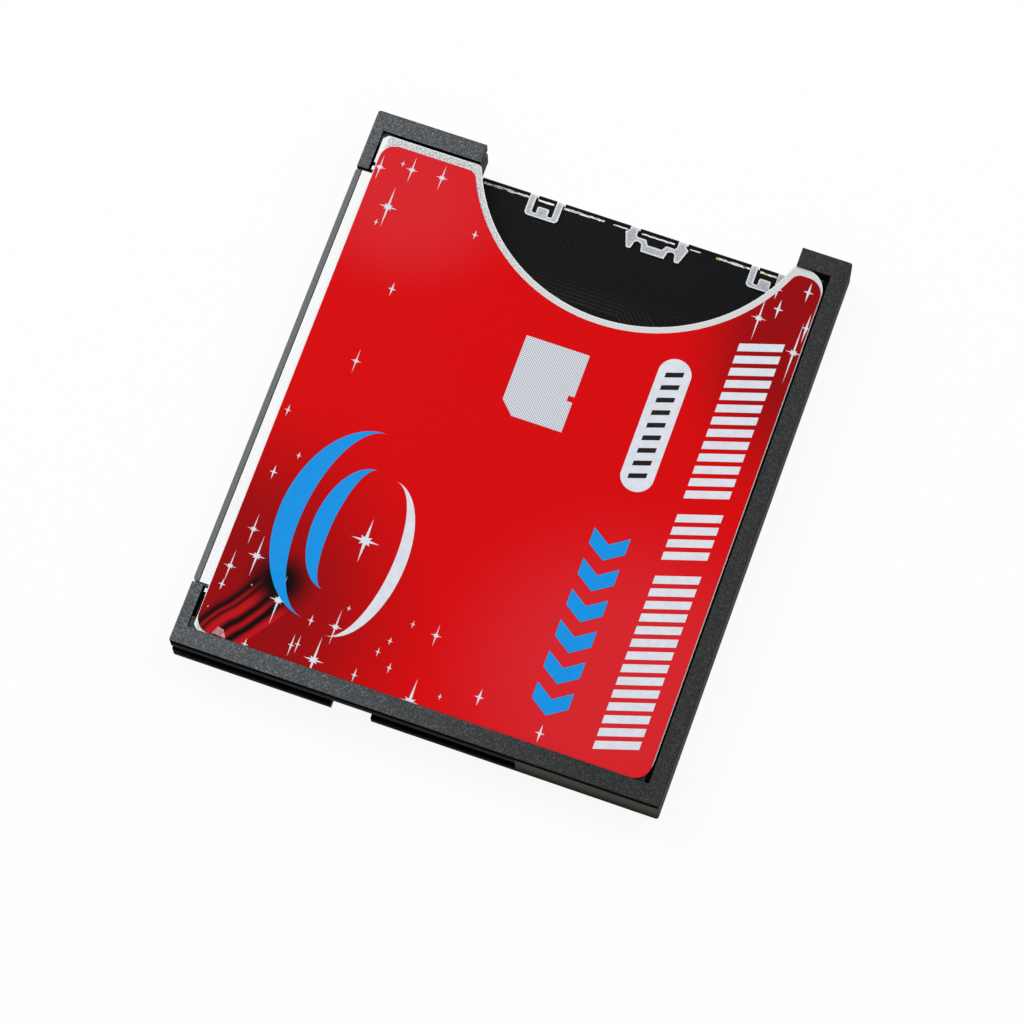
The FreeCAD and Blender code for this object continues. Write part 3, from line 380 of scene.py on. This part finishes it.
def makeLabelFoil(look, folds):
    # offset-printed polyester foil under a gloss film: clear red with darker screened corners, and two lighter
    # fields of painted reflection
    material, tree, surface, place = newMaterial("printedGlossFoil", {"Roughness": look["rough"], "IOR": 1.24})
    color = look["red"]
    # painted reflection: soft fields painted a lighter red
    for field in look["sheenFields"]:
        color = addNode(tree, "Mix", twoColors | {0: fieldMask(tree, place, field), 6: color, 7: look["sheenRed"]})
    # the screen is a little coarser than in print, so that its dots show
    screen = dotScreen(tree, place, look["screenPitch"])
    dots = addNode(tree, "MapRange", softStep | {"Value": screen, "From Min": -0.6, "From Max": 0.6,
                                                 "To Min": look["dots"][0], "To Max": look["dots"][1]})
    for field in look["darkCorners"]:
        mask = fieldMask(tree, place, field)
        reached = addNode(tree, "MapRange", softStep | {"Value": mask, "From Min": 0.05, "From Max": 0.5})
        screened = addNode(tree, "Math", {"operation": "MULTIPLY", 0: dots, 1: reached})
        screened = addNode(tree, "Math", {"operation": "ADD", 0: mask, 1: screened})
        clipped = addNode(tree, "Clamp", {"Value": screened})
        color = addNode(tree, "Mix", twoColors | {0: clipped, 6: color, 7: look["dark"]})
    color = foldedSatin(tree, place, color, folds)
    turned = faceTurn(tree)
    cutEdge = addNode(tree, "MapRange", softStep | {"Value": turned["Z"], "From Min": 0.6, "From Max": 0.3})
    color = addNode(tree, "Mix", twoColors | {0: cutEdge, 6: color, 7: look["edge"]})
    wavy = addNode(tree, "TexNoise", {"Vector": place, "Scale": 1 / look["waveSize"]})
    relief = addNode(tree, "Bump", {"Strength": 0.25, "Distance": 0.05 * mm, "Height": wavy})
    setNode(tree, surface, {"Base Color": color, "Normal": relief})
    return material


boardLacquerLook = {"lacquer": "#070A0B", "tint": "#0B0F12", "core": "#8E8453", "coreDark": "#6D6440",
                    "rough": 0.27, "threadPitch": 0.404, "coreGrain": 0.12, "grainSize": 0.5}


def makeBoardLacquer(look):
    # glass-epoxy laminate under black solder lacquer: almost black with a soft shine, tan at the cut edges
    material, tree, surface, place = newMaterial("lacqueredLaminate", {"Roughness": look["rough"], "IOR": 1.28})
    turns = math.pi * math.sqrt(2) / 10 / look["threadPitch"]      # a slanted wave turns ten times as fast
    weave = addNode(tree, "TexWave", {"Vector": place, "Scale": turns, "Distortion": 0.6, "Detail": 1.0,
                                      "bands_direction": "DIAGONAL"}).outputs["Fac"]
    tinted = addNode(tree, "MapRange", softStep | {"Value": weave, "From Min": 0.2, "From Max": 0.8})
    color = addNode(tree, "Mix", twoColors | {0: tinted, 6: look["lacquer"], 7: look["tint"]})
    turned = faceTurn(tree)
    level = addNode(tree, "Math", {"operation": "ABSOLUTE", 0: turned["Z"]})
    cutEdge = addNode(tree, "MapRange", softStep | {"Value": level, "From Min": 0.6, "From Max": 0.3})
    fine = addNode(tree, "TexNoise", {"Vector": place, "Scale": 1 / look["coreGrain"]})
    dark = addNode(tree, "MapRange", softStep | {"Value": fine, "From Min": 0.4, "From Max": 0.6})
    core = addNode(tree, "Mix", twoColors | {0: dark, 6: look["core"], 7: look["coreDark"]})
    color = addNode(tree, "Mix", twoColors | {0: cutEdge, 6: color, 7: core})
    coarse = addNode(tree, "TexNoise", {"Vector": place, "Scale": 1 / look["grainSize"]})
    relief = addNode(tree, "Bump", {"Strength": 0.4, "Distance": 0.01 * mm, "Height": coarse})
    setNode(tree, surface, {"Base Color": color, "Normal": relief})
    return material


def makePlain(name, colors, size, settings):
    # two close shades of one finish, mottled at a real grain size
    material, tree, surface, place = newMaterial(name, settings)
    fine = addNode(tree, "TexNoise", {"Vector": place, "Scale": 1 / size, "Roughness": 0.6})
    mottled = addNode(tree, "MapRange", softStep | {"Value": fine, "From Min": 0.38, "From Max": 0.62})
    color = addNode(tree, "Mix", twoColors | {0: mottled, 6: colors[0], 7: colors[1]})
    relief = addNode(tree, "Bump", {"Strength": 0.4, "Distance": 0.006 * mm, "Height": fine})
    setNode(tree, surface, {"Base Color": color, "Normal": relief})
    return material


# name, two shades, grain size in mm and the shader's settings
plainFinishes = {
    # liquid-crystal polymer with glass, moulded: dark grey with a fine mottle
    "connector_plastic": ("mouldedGreyLcp", ("#585C5F", "#6F7377"), 0.12, {"Roughness": 0.45, "IOR": 1.55}),
    # polycarbonate film, die cut: smooth black, half shiny
    "black_film": ("blackInsulatingFilm", ("#060607", "#0A0A0B"), 0.8, {"Roughness": 0.4, "IOR": 1.2}),
    # phosphor bronze, stamped and flash plated with gold
    "contact_metal": ("goldFlashedBronze", ("#D9B25C", "#C79A45"), 0.3, {"Roughness": 0.24, "Metallic": 1.0}),
    # phosphor bronze strip, nickel plated, with gold at the points of touch
    "spring_metal": ("platedSpringStrip", ("#CDBB8C", "#BCA871"), 0.3, {"Roughness": 0.28, "Metallic": 1.0}),
    # epoxy moulding compound: dark grey, matt, finely pitted
    "chip_resin": ("epoxyMouldingCompound", ("#232426", "#2F3133"), 0.07, {"Roughness": 0.62, "IOR": 1.55}),
    # drawn nickel-silver can
    "crystal_can": ("drawnNickelCan", ("#C9C6BC", "#B8B4A8"), 0.2, {"Roughness": 0.26, "Metallic": 1.0}),
    # fired barium-titanate ceramic: tan and dull
    "chip_ceramic": ("firedTanCeramic", ("#9C7B55", "#866643"), 0.1, {"Roughness": 0.55, "IOR": 1.6}),
    # alumina chip with a black glass coat
    "resistor_ceramic": ("glassCoatedAlumina", ("#1A1B1E", "#2A2C30"), 0.15, {"Roughness": 0.3, "IOR": 1.55}),
}

finishes = {
    "frame_plastic": makeFramePlastic(framePlasticLook, longFlankLook),
    "cover_steel": makeCoverSteel(coverSteelLook),
    "tab_steel": makeCoverSteel(tabSteelLook),
    "label_foil": makeLabelFoil(labelFoilLook, labelFolds),
    "board_laminate": makeBoardLacquer(boardLacquerLook),
}
finishes.update({name: makePlain(*row) for name, row in plainFinishes.items()})


def dressNodes():
    done = 0
    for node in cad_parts.values():
        for place in node.material_slots:
            name = place.material.name.split(".")[0] if place.material else ""
            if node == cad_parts["bottom_cover"]:
                name = "tab_steel"
            if name in finishes:
                place.material = finishes[name]
                done += 1
            else:
                print("no finish for", node.name, name)
    return done


print("finishes on", dressNodes(), "CAD slots")


# modelling

def clearSelection():
    if bpy.context.object and bpy.context.object.mode != "OBJECT":
        bpy.ops.object.mode_set(mode="OBJECT")
    bpy.ops.object.select_all(action="DESELECT")


def holdOnly(piece):
    clearSelection()
    piece.select_set(True)
    bpy.context.view_layer.objects.active = piece


def addSheet(place, size):
    # a flat plane at its size, and its place in its mesh
    clearSelection()
    bpy.ops.mesh.primitive_plane_add(size=mm, location=[p * mm for p in place])
    piece = bpy.context.object
    piece.scale = (size[0], size[1], 1)
    bpy.ops.object.transform_apply(location=True, rotation=True, scale=True)
    return piece


def addDisc(place, radius, corners=48, fill="NGON"):
    clearSelection()
    bpy.ops.mesh.primitive_circle_add(vertices=corners, radius=radius * mm, fill_type=fill,
                                      location=[p * mm for p in place])
    piece = bpy.context.object
    bpy.ops.object.transform_apply(location=True, rotation=True, scale=True)
    return piece


def pickPoints(piece, test):
    # leaves the piece in edit mode with the points that pass the test, in mm
    bpy.ops.object.mode_set(mode="OBJECT")
    for face in piece.data.polygons:
        face.select = False
    for line in piece.data.edges:
        line.select = False
    for point in piece.data.vertices:
        point.select = bool(test(point.co / mm))
    bpy.ops.object.mode_set(mode="EDIT")
    bpy.ops.mesh.select_mode(type="VERT")


def shiftPoints(piece, test, move):
    pickPoints(piece, test)
    bpy.ops.transform.translate(value=[m * mm for m in move])
    bpy.ops.object.mode_set(mode="OBJECT")


def scalePoints(piece, test, factors):
    # from the world's middle, where a piece is made
    pickPoints(piece, test)
    bpy.ops.transform.resize(value=factors, center_override=(0, 0, 0))
    bpy.ops.object.mode_set(mode="OBJECT")


def thicken(piece, height):
    holdOnly(piece)
    bpy.ops.object.mode_set(mode="EDIT")
    bpy.ops.mesh.select_all(action="SELECT")
    bpy.ops.mesh.extrude_region_move(TRANSFORM_OT_translate={"value": (0, 0, height * mm)})
    bpy.ops.mesh.select_all(action="SELECT")
    bpy.ops.mesh.normals_make_consistent(inside=False)
    bpy.ops.object.mode_set(mode="OBJECT")
    return piece


def copyPiece(piece, move=(0, 0, 0), factors=(1, 1, 1), turn=0.0):
    # the copy has its own mesh, and is scaled and turned about the world's middle before it moves
    holdOnly(piece)
    bpy.ops.object.duplicate(linked=False)
    made = bpy.context.object
    made.scale = factors
    made.rotation_euler = (0, 0, math.radians(turn))
    made.location = [m * mm for m in move]
    bpy.ops.object.transform_apply(location=True, rotation=True, scale=True)
    return made


def joinPieces(pieces):
    holdOnly(pieces[0])
    for piece in pieces:
        piece.select_set(True)
    bpy.ops.object.join()
    return bpy.context.object


def dropPiece(piece):
    bpy.data.objects.remove(piece, do_unlink=True)


def finishPiece(piece, name, material):
    piece.name = name
    piece.data.name = name
    piece.data.materials.clear()
    piece.data.materials.append(material)
    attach(piece, "root")
    print("made", name, "with", len(piece.data.polygons), "faces")


def trimToLabel(piece):
    # the print ends where the foil is cut, which a copy of the label cuts that is stretched up and down
    stretch, lift = 20, 0.5 * mm
    clearSelection()
    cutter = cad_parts["label"].copy()
    cutter.data = cutter.data.copy()
    bpy.context.scene.collection.objects.link(cutter)
    cutter.parent = None
    holdOnly(cutter)
    bpy.ops.object.mode_set(mode="EDIT")
    bpy.ops.mesh.select_all(action="SELECT")
    bpy.ops.mesh.remove_doubles(threshold=1e-7)
    bpy.ops.transform.resize(value=(1, 1, stretch), center_override=(0, 0, labelTop * mm))
    bpy.ops.object.mode_set(mode="OBJECT")
    for point in cutter.data.vertices:
        point.co.z += lift
    holdOnly(piece)
    trim = piece.modifiers.new("trim", "BOOLEAN")
    trim.operation = "INTERSECT"
    trim.solver = "EXACT"
    trim.object = cutter
    bpy.ops.object.modifier_apply(modifier="trim")
    dropPiece(cutter)
    return piece


# label print

# gloss screen ink under the foil's varnish: even colour with a hard shine
inkShine = {"Roughness": 0.2, "IOR": 1.38}
inkWhite = makePlain("whitePrint", ("#E4E8F1", "#DDE1EB"), 0.5, inkShine)
inkBlue = makePlain("bluePrint", ("#0897EC", "#0A93E6"), 0.5, inkShine)
inkDark = makePlain("darkPrint", ("#231A1C", "#1B1416"), 0.5, inkShine)

sparkles = {
    "ink": 0.012,        # height of the print in mm
    # number of rays, how far out the valleys between them lie, and the slanting rays' share of the length
    "shapes": {"eightRays": (8, 0.3, 0.55), "fourRays": (4, 0.34, 1)},
    # middle x, y, width over the cross rays, length over the long rays
    "eightRays": [
        (-16.59, 17.21, 0.95, 2.0), (-14.31, 17.76, 0.95, 2.1), (-12.04, 17.89, 0.95, 2.1),
        (-14.96, 14.47, 1.4, 3.3), (-13.02, 2.56, 0.80, 1.9), (-15.48, -11.71, 0.95, 2.4),
        (-14.55, -13.5, 1.30, 3.2), (-16.08, -14.81, 0.95, 2.6), (-11.97, -16.06, 1.35, 3.8),
        (-8.1, -19.33, 1.5, 3.6), (-7.48, -16.56, 1.05, 2.8), (-0.6, -14.81, 0.85, 1.7),
        (-0.73, -19.98, 1.9, 3.6), (13.13, 15.2, 1.15, 3.6), (16.31, 13.5, 1.2, 5.0),
    ],
    "fourRays": [
        (-15.09, 17.99, 0.36, 0.5), (-15.37, 13.08, 0.38, 0.55), (-8.27, 14.5, 0.5, 0.75),
        (-12.49, 8.59, 0.6, 1.1), (-16.32, -2.54, 0.5, 0.9), (-15.64, -7.25, 0.6, 1.1),
        (-14.38, -5.5, 0.4, 0.6), (-16.14, -16.26, 0.55, 0.9), (-13.06, -19.86, 0.55, 0.9),
        (-9.96, -18.83, 0.5, 1.7), (-9.55, -18.64, 0.45, 1.4), (-9.27, -16.69, 0.5, 0.9),
        (-7.06, -14.97, 0.35, 0.45), (-5.02, -19.42, 0.5, 1.1), (-4.04, -17.28, 0.4, 0.7),
        (-2.89, -18.12, 0.45, 0.8), (-3.51, -16.26, 0.4, 0.6), (-2.41, -14.57, 0.35, 0.6),
        (1.17, -18.91, 0.35, 0.5), (3.78, -18.03, 0.7, 1.3), (8.64, -19.08, 0.7, 1.35),
        (13.72, 17.74, 0.7, 1.6), (15.88, 18.23, 0.75, 1.6), (14.24, 16.3, 0.75, 1.6),
        (16.59, 15.57, 0.7, 2.4), (-14.13, -15.62, 0.16, 0.2), (-16.49, -18.11, 0.16, 0.2),
    ],
}


def makeSparkle(rays, valley, shortRay):
    # a disc one mm across whose points are drawn in between the rays
    piece = addDisc((0, 0, 0), 0.5, rays * 2, "TRIFAN")
    step = math.pi / rays

    def rayNumber(point):
        return round(math.atan2(point.y, point.x) / step)

    scalePoints(piece, lambda p: p.length > 0.1 and rayNumber(p) % 2 == 1, (valley, valley, 1))
    if rays > 4:
        scalePoints(piece, lambda p: p.length > 0.3 and rayNumber(p) % 4 == 2, (shortRay, shortRay, 1))
    return piece


def placeSparkle(master, row, z):
    # the body keeps its round shape, and only the two long rays are drawn out
    x, y, wide, long = row
    body = wide * 0.8
    piece = copyPiece(master, (0, 0, 0), (wide, body, 1))
    scalePoints(piece, lambda p: abs(p.x) < 0.02 * wide and abs(p.y) > 0.3 * wide, (1, long / body, 1))
    shiftPoints(piece, lambda p: True, (x, y, z))
    return piece


def makeSparkles(spec):
    made = []
    masters = {rays: makeSparkle(*shape) for rays, shape in spec["shapes"].items()}
    for rays, master in masters.items():
        for row in spec[rays]:
            made.append(placeSparkle(master, row, labelTop))
        dropPiece(master)
    piece = trimToLabel(thicken(joinPieces(made), spec["ink"]))
    finishPiece(piece, "label_sparkles", inkWhite)


makeSparkles(sparkles)

cardPicture = {"left": -2.14, "right": 2.66, "low": 2.32, "high": 8.47, "corner": 1.02,
               "notch": (4.69, 5.12, 0.44), "ink": 0.014, "dotPitch": 0.2, "paper": "#E4E8F1", "dot": "#85878F"}


def makeDottedInk(spec):
    # white print under a fine grey dot screen
    material, tree, surface, place = newMaterial("dottedPrint", inkShine)
    screen = dotScreen(tree, place, spec["dotPitch"])
    dots = addNode(tree, "MapRange", softStep | {"Value": screen, "From Min": 0.05, "From Max": 0.5})
    color = addNode(tree, "Mix", twoColors | {0: dots, 6: spec["paper"], 7: spec["dot"]})
    setNode(tree, surface, {"Base Color": color})
    return material


def makeCardPicture(spec):
    wide, deep = spec["right"] - spec["left"], spec["high"] - spec["low"]
    piece = addSheet((spec["left"] + wide / 2, spec["low"] + deep / 2, labelTop), (wide, deep))
    pickPoints(piece, lambda p: p.x < spec["left"] + wide / 2 and p.y < spec["low"] + deep / 2)
    bpy.ops.mesh.bevel(offset=spec["corner"] * mm, segments=1, affect="VERTICES")
    low, high, depth = spec["notch"]
    acrossY, acrossX = (0, 1, 0), (1, 0, 0)
    cuts = (((0, low, 0), acrossY), ((0, high, 0), acrossY), ((spec["right"] - depth, 0, 0), acrossX))
    for place, normal in cuts:
        bpy.ops.mesh.select_all(action="SELECT")
        bpy.ops.mesh.bisect(plane_co=[p * mm for p in place], plane_no=normal)
    bpy.ops.object.mode_set(mode="OBJECT")
    for face in piece.data.polygons:
        middle = face.center / mm
        face.select = low < middle.y < high and middle.x > spec["right"] - depth
    bpy.ops.object.mode_set(mode="EDIT")
    bpy.ops.mesh.select_mode(type="FACE")
    bpy.ops.mesh.delete(type="FACE")
    bpy.ops.object.mode_set(mode="OBJECT")
    finishPiece(thicken(piece, spec["ink"]), "card_picture", makeDottedInk(spec))


makeCardPicture(cardPicture)

capsule = {"x": 8.84, "low": 1.05, "high": 9.09, "radius": 1.22, "ink": 0.014}
capsuleBars = {"count": 9, "wide": 1.25, "long": 0.38, "slant": 0.42, "ink": 0.02}


def makeCapsule(spec, bars):
    middle = (spec["low"] + spec["high"]) / 2
    piece = addDisc((spec["x"], middle, labelTop), spec["radius"], 64)
    half = (spec["high"] - spec["low"]) / 2
    shiftPoints(piece, lambda p: p.y > middle + 0.001, (0, half, 0))
    shiftPoints(piece, lambda p: p.y < middle - 0.001, (0, -half, 0))
    finishPiece(thicken(piece, spec["ink"]), "label_capsule", inkWhite)
    bar = addSheet((0, 0, 0), (bars["wide"], bars["long"]))
    shiftPoints(bar, lambda p: p.x > 0, (0, bars["slant"], 0))
    pitch = (spec["high"] - spec["low"]) / (bars["count"] - 1)
    made = [copyPiece(bar, (spec["x"], spec["low"] + k * pitch - bars["slant"] / 2, labelTop))
            for k in range(bars["count"])]
    dropPiece(bar)
    finishPiece(thicken(joinPieces(made), bars["ink"]), "capsule_bars", inkDark)


makeCapsule(capsule, capsuleBars)

chevrons = {"x": 8.6, "low": -16.2, "high": -4.2, "count": 6, "wide": 2.7, "thick": 1.25, "dip": 0.9,
            "ink": 0.014}


def makeChevrons(spec):
    # arrows in a row, which point the way the card goes in
    shape = addSheet((0, 0, 0), (spec["wide"], spec["thick"]))
    pickPoints(shape, lambda p: True)
    bpy.ops.mesh.subdivide(number_cuts=1)
    shiftPoints(shape, lambda p: abs(p.x) < 0.01, (0, -spec["dip"], 0))
    pitch = (spec["high"] - spec["low"]) / (spec["count"] - 1)
    made = [copyPiece(shape, (spec["x"], spec["low"] + k * pitch, labelTop))
            for k in range(spec["count"])]
    dropPiece(shape)
    finishPiece(thicken(joinPieces(made), spec["ink"]), "blue_chevrons", inkBlue)


makeChevrons(chevrons)

stripe = {"x": 14.0, "start": -18.6, "wide": 3.1, "thick": 0.62, "pitch": 0.98, "slant": 1.0, "space": 0.9,
          "groups": [14, 4, 13], "ink": 0.014}


def makeStripe(spec):
    # slanted white bars in three groups along the rear of the label
    bar = addSheet((0, 0, 0), (spec["wide"], spec["thick"]))
    shiftPoints(bar, lambda p: p.x > 0, (0, spec["slant"], 0))
    made = []
    low = spec["start"]
    for count in spec["groups"]:
        for k in range(count):
            made.append(copyPiece(bar, (spec["x"], low, labelTop)))
            low += spec["pitch"]
        low += spec["space"]
    dropPiece(bar)
    finishPiece(thicken(joinPieces(made), spec["ink"]), "white_stripe", inkWhite)


makeStripe(stripe)

# middle x, y, half width, half length, how deep the hollow is, turn in degrees
swooshes = {
    "blue": [(-9.4, -9.3, 4.9, 7.4, 0.66, -4), (-9.0, -9.5, 2.7, 4.8, 0.5, -4)],
    "white": [(-7.6, -11.2, 3.2, 6.2, 0.72, 176)],
    "star": (-7.7, -9.9, 2.1, 3.4),
    "ink": 0.016, "whiteInk": 0.02,
}


def makeSwoosh(row):
    # a disc with one half folded into the other, which leaves a crescent
    x, y, wide, long, hollow, turn = row
    piece = addDisc((0, 0, 0), 1, 64)
    scalePoints(piece, lambda p: p.x > 0.001, (-hollow, 1, 1))
    made = copyPiece(piece, (x, y, labelTop), (wide, long, 1), turn)
    dropPiece(piece)
    return made


def makeSwooshes(spec):
    piece = thicken(joinPieces([makeSwoosh(row) for row in spec["blue"]]), spec["ink"])
    finishPiece(piece, "blue_swooshes", inkBlue)
    master = makeSparkle(*sparkles["shapes"]["eightRays"])
    star = placeSparkle(master, spec["star"], labelTop)
    dropPiece(master)
    piece = thicken(joinPieces([makeSwoosh(row) for row in spec["white"]] + [star]), spec["whiteInk"])
    finishPiece(piece, "white_swooshes", inkWhite)


makeSwooshes(swooshes)

# a pale pink patch at one corner of the foil
palePatch = {"corners": [(-15.55, -19.85), (-14.5, -19.92), (-15.29, -19.26), (-14.84, -19.35)], "ink": 0.01,
         "shades": ("#D8A3A2", "#B0707A")}


def makePalePatch(spec):
    # a square sheet whose corners are drawn to their places, from the left to the right and then up
    piece = addSheet((0, 0, labelTop), (1, 1))
    for number, (x, y) in enumerate(spec["corners"]):
        sideX, sideY = (-0.5, 0.5)[number % 2], (-0.5, 0.5)[number // 2]
        shiftPoints(piece, lambda p: abs(p.x - sideX) < 0.01 and abs(p.y - sideY) < 0.01,
                    (x - sideX, y - sideY, 0))
    # a pale pink, matt patch on the polyester foil
    material = makePlain("palePinkFoil", spec["shades"], 0.3, {"Roughness": 0.35, "IOR": 1.38})
    finishPiece(thicken(piece, spec["ink"]), "pale_patch", material)


makePalePatch(palePatch)
print("label print is done")


# circuit board

# the bundle that turns off under the cover, and the one above it that steps down and runs on
traces = {
    "height": 0.012, "width": 0.12, "pitch": 0.29, "left": 13.5,
    "turning": {"count": 8, "bend": (3.2, 12.9), "slope": 4.0, "right": 0},
    "stepping": {"count": 5, "bend": (4.16, 15.22), "slope": 1.0, "right": 8.5},
    "browns": ("#34271F", "#271D18"), "grainSize": 0.6, "lost": "#07090A", "lostSpan": (12.4, 15.2),
}


def makeTraceInk(spec):
    # copper under the lacquer: brown where the lacquer is thin, and lost in it towards the mouth
    material, tree, surface, place = newMaterial("lacqueredCopper", {"Roughness": 0.3, "IOR": 1.28})
    coarse = addNode(tree, "TexNoise", {"Vector": place, "Scale": 1 / spec["grainSize"]})
    mottled = addNode(tree, "MapRange", softStep | {"Value": coarse, "From Min": 0.4, "From Max": 0.6})
    brown = addNode(tree, "Mix", twoColors | {0: mottled, 6: spec["browns"][0], 7: spec["browns"][1]})
    deep = addNode(tree, "SeparateXYZ", {"Vector": place}).outputs["Y"]
    lost = addNode(tree, "MapRange", softStep | {"Value": deep, "From Min": spec["lostSpan"][0],
                                                 "From Max": spec["lostSpan"][1]})
    color = addNode(tree, "Mix", twoColors | {0: lost, 6: brown, 7: spec["lost"]})
    setNode(tree, surface, {"Base Color": color})
    return material


def makeTrace(spec, bundle):
    # a straight run up to the bend, a slope at 45 degrees, then perhaps another straight run
    piece = addSheet((-spec["left"] / 2, 0, 0), (spec["left"], spec["width"]))
    slope, right = bundle["slope"], bundle["right"]
    pickPoints(piece, lambda p: p.x > -0.01)
    bpy.ops.mesh.extrude_region_move(TRANSFORM_OT_translate={"value": (slope * mm, -slope * mm, 0)})
    if right:
        bpy.ops.mesh.extrude_region_move(TRANSFORM_OT_translate={"value": (right * mm, 0, 0)})
    bpy.ops.object.mode_set(mode="OBJECT")
    return piece


def makeTraces(spec):
    lean = math.tan(math.radians(45 / 2))       # bends of 45 degrees in parallel lie on a line at half of that
    made = []
    for bundle in (spec["turning"], spec["stepping"]):
        master = makeTrace(spec, bundle)
        for k in range(bundle["count"]):
            step = k * spec["pitch"]
            x, y = bundle["bend"]
            made.append(copyPiece(master, (x + step * lean, y + step, boardTop)))
        dropPiece(master)
    finishPiece(thicken(joinPieces(made), spec["height"]), "board_traces", makeTraceInk(spec))


makeTraces(traces)

# stretches of torn laminate along the mouth, from x to x, with the width of the tear
rawEdge = {
    "y": 19.54, "height": 0.03, "step": 0.22, "seed": 7, "jitterAcross": 0.16, "jitterAlong": 0.2,
    "runs": [(-9.4, -5.9, 0.17), (-5.2, -4.0, 0.14), (-3.2, -0.1, 0.15), (0.6, 1.7, 0.09), (2.8, 5.3, 0.12),
             (6.5, 7.3, 0.07), (8.5, 11.1, 0.16), (11.9, 13.2, 0.15)],
    "fibre": "#FFFFFF", "resin": "#C9C56E", "resinSize": 0.35, "resinSpan": (6.0, 9.0),
}


def makeRawEdge(spec):
    random.seed(spec["seed"])
    acrossShare, alongShare = spec["jitterAcross"], spec["jitterAlong"]
    made = []
    for start, end, wide in spec["runs"]:
        piece = addSheet(((start + end) / 2, spec["y"], boardTop), (end - start, wide))
        pickPoints(piece, lambda p: True)
        bpy.ops.mesh.subdivide(number_cuts=max(2, int((end - start) / spec["step"])))
        bpy.ops.object.mode_set(mode="OBJECT")
        for point in piece.data.vertices:
            point.co.y += random.uniform(-acrossShare, acrossShare) * wide * mm
            point.co.x += random.uniform(-alongShare, alongShare) * spec["step"] * mm
        made.append(piece)
    piece = thicken(joinPieces(made), spec["height"])
    # glass fibre torn bare: chalky white, yellow-green where resin is left
    material, tree, surface, place = newMaterial("tornGlassFibre", {"Roughness": 0.8, "IOR": 1.5})
    coarse = addNode(tree, "TexNoise", {"Vector": place, "Scale": 1 / spec["resinSize"]})
    patches = addNode(tree, "MapRange", softStep | {"Value": coarse, "From Min": 0.45, "From Max": 0.6})
    along = addNode(tree, "SeparateXYZ", {"Vector": place}).outputs["X"]
    rightSide = addNode(tree, "MapRange", softStep | {"Value": along, "From Min": spec["resinSpan"][0],
                                                      "From Max": spec["resinSpan"][1]})
    tinted = addNode(tree, "Math", {"operation": "MULTIPLY", 0: patches, 1: rightSide})
    color = addNode(tree, "Mix", twoColors | {0: tinted, 6: spec["fibre"], 7: spec["resin"]})
    setNode(tree, surface, {"Base Color": color})
    finishPiece(piece, "raw_board_edge", material)


makeRawEdge(rawEdge)
print("board details are done")


# floor, world and lamps

# size in metres, drop below the adapter in mm, the share of white and its strength for the eye
stage = {"size": 4.0, "drop": 0.02, "paper": "#C4C4C4", "white": 0.86, "glow": 1.07}


def makeStage(spec):
    clearSelection()
    bpy.ops.mesh.primitive_plane_add(size=spec["size"], location=(0, 0, -spec["drop"] * mm))
    floor = bpy.context.object
    floor.name = "floor"
    # matt cartridge paper, which the camera and mirrors see as plain white
    material, tree, surface = newMaterial("palePaperSweep", {"Roughness": 0.9, "Specular IOR Level": 0.2})[:3]
    setNode(tree, surface, {"Base Color": spec["paper"]})
    glow = addNode(tree, "Emission", {"Color": (1, 1, 1, 1), "Strength": spec["glow"]})
    rays = addNode(tree, "LightPath").outputs
    seen = addNode(tree, "Math", {"operation": "MAXIMUM", 0: rays["Is Camera Ray"], 1: rays["Is Glossy Ray"]})
    seen = addNode(tree, "Math", {"operation": "MAXIMUM", 0: seen, 1: rays["Is Transmission Ray"]})
    share = addNode(tree, "Math", {"operation": "MULTIPLY", 0: seen, 1: spec["white"]})
    mixed = addNode(tree, "MixShader", {0: share, 1: surface, 2: glow})
    output = next(n for n in tree.nodes if n.type == "OUTPUT_MATERIAL")
    setNode(tree, output, {"Surface": mixed})
    floor.data.materials.append(material)


makeStage(stage)

# place in metres, width and depth in metres, power in watts
lamps = {
    "world": 0.32,
    "softboxes": {
        "keyBox": ((-0.72, 0.30, 0.60), (0.60, 0.60), 5.0),
        "glossBox": ((-0.52, 0.30, 0.72), (0.40, 0.60), 1.3),
        "fillBox": ((0.50, 0.52, 0.62), (0.50, 0.50), 3.6),
    },
}


def makeLamps(spec):
    world = bpy.data.worlds.new("studio")
    bpy.context.scene.world = world
    world.use_nodes = True
    world.node_tree.nodes["Background"].inputs["Color"].default_value = (1, 1, 1, 1)
    world.node_tree.nodes["Background"].inputs["Strength"].default_value = spec["world"]
    for name, (place, size, power) in spec["softboxes"].items():
        clearSelection()
        bpy.ops.object.light_add(type="AREA", location=place)
        lamp = bpy.context.object
        lamp.name = name
        lamp.data.shape = "RECTANGLE"
        lamp.data.size, lamp.data.size_y = size
        lamp.data.energy = power
        lamp.rotation_mode = "QUATERNION"
        lamp.rotation_quaternion = Vector(place).to_track_quat("Z", "Y")


makeLamps(lamps)
bpy.context.scene.view_settings.view_transform = "Standard"
print("stage and lamps are set")
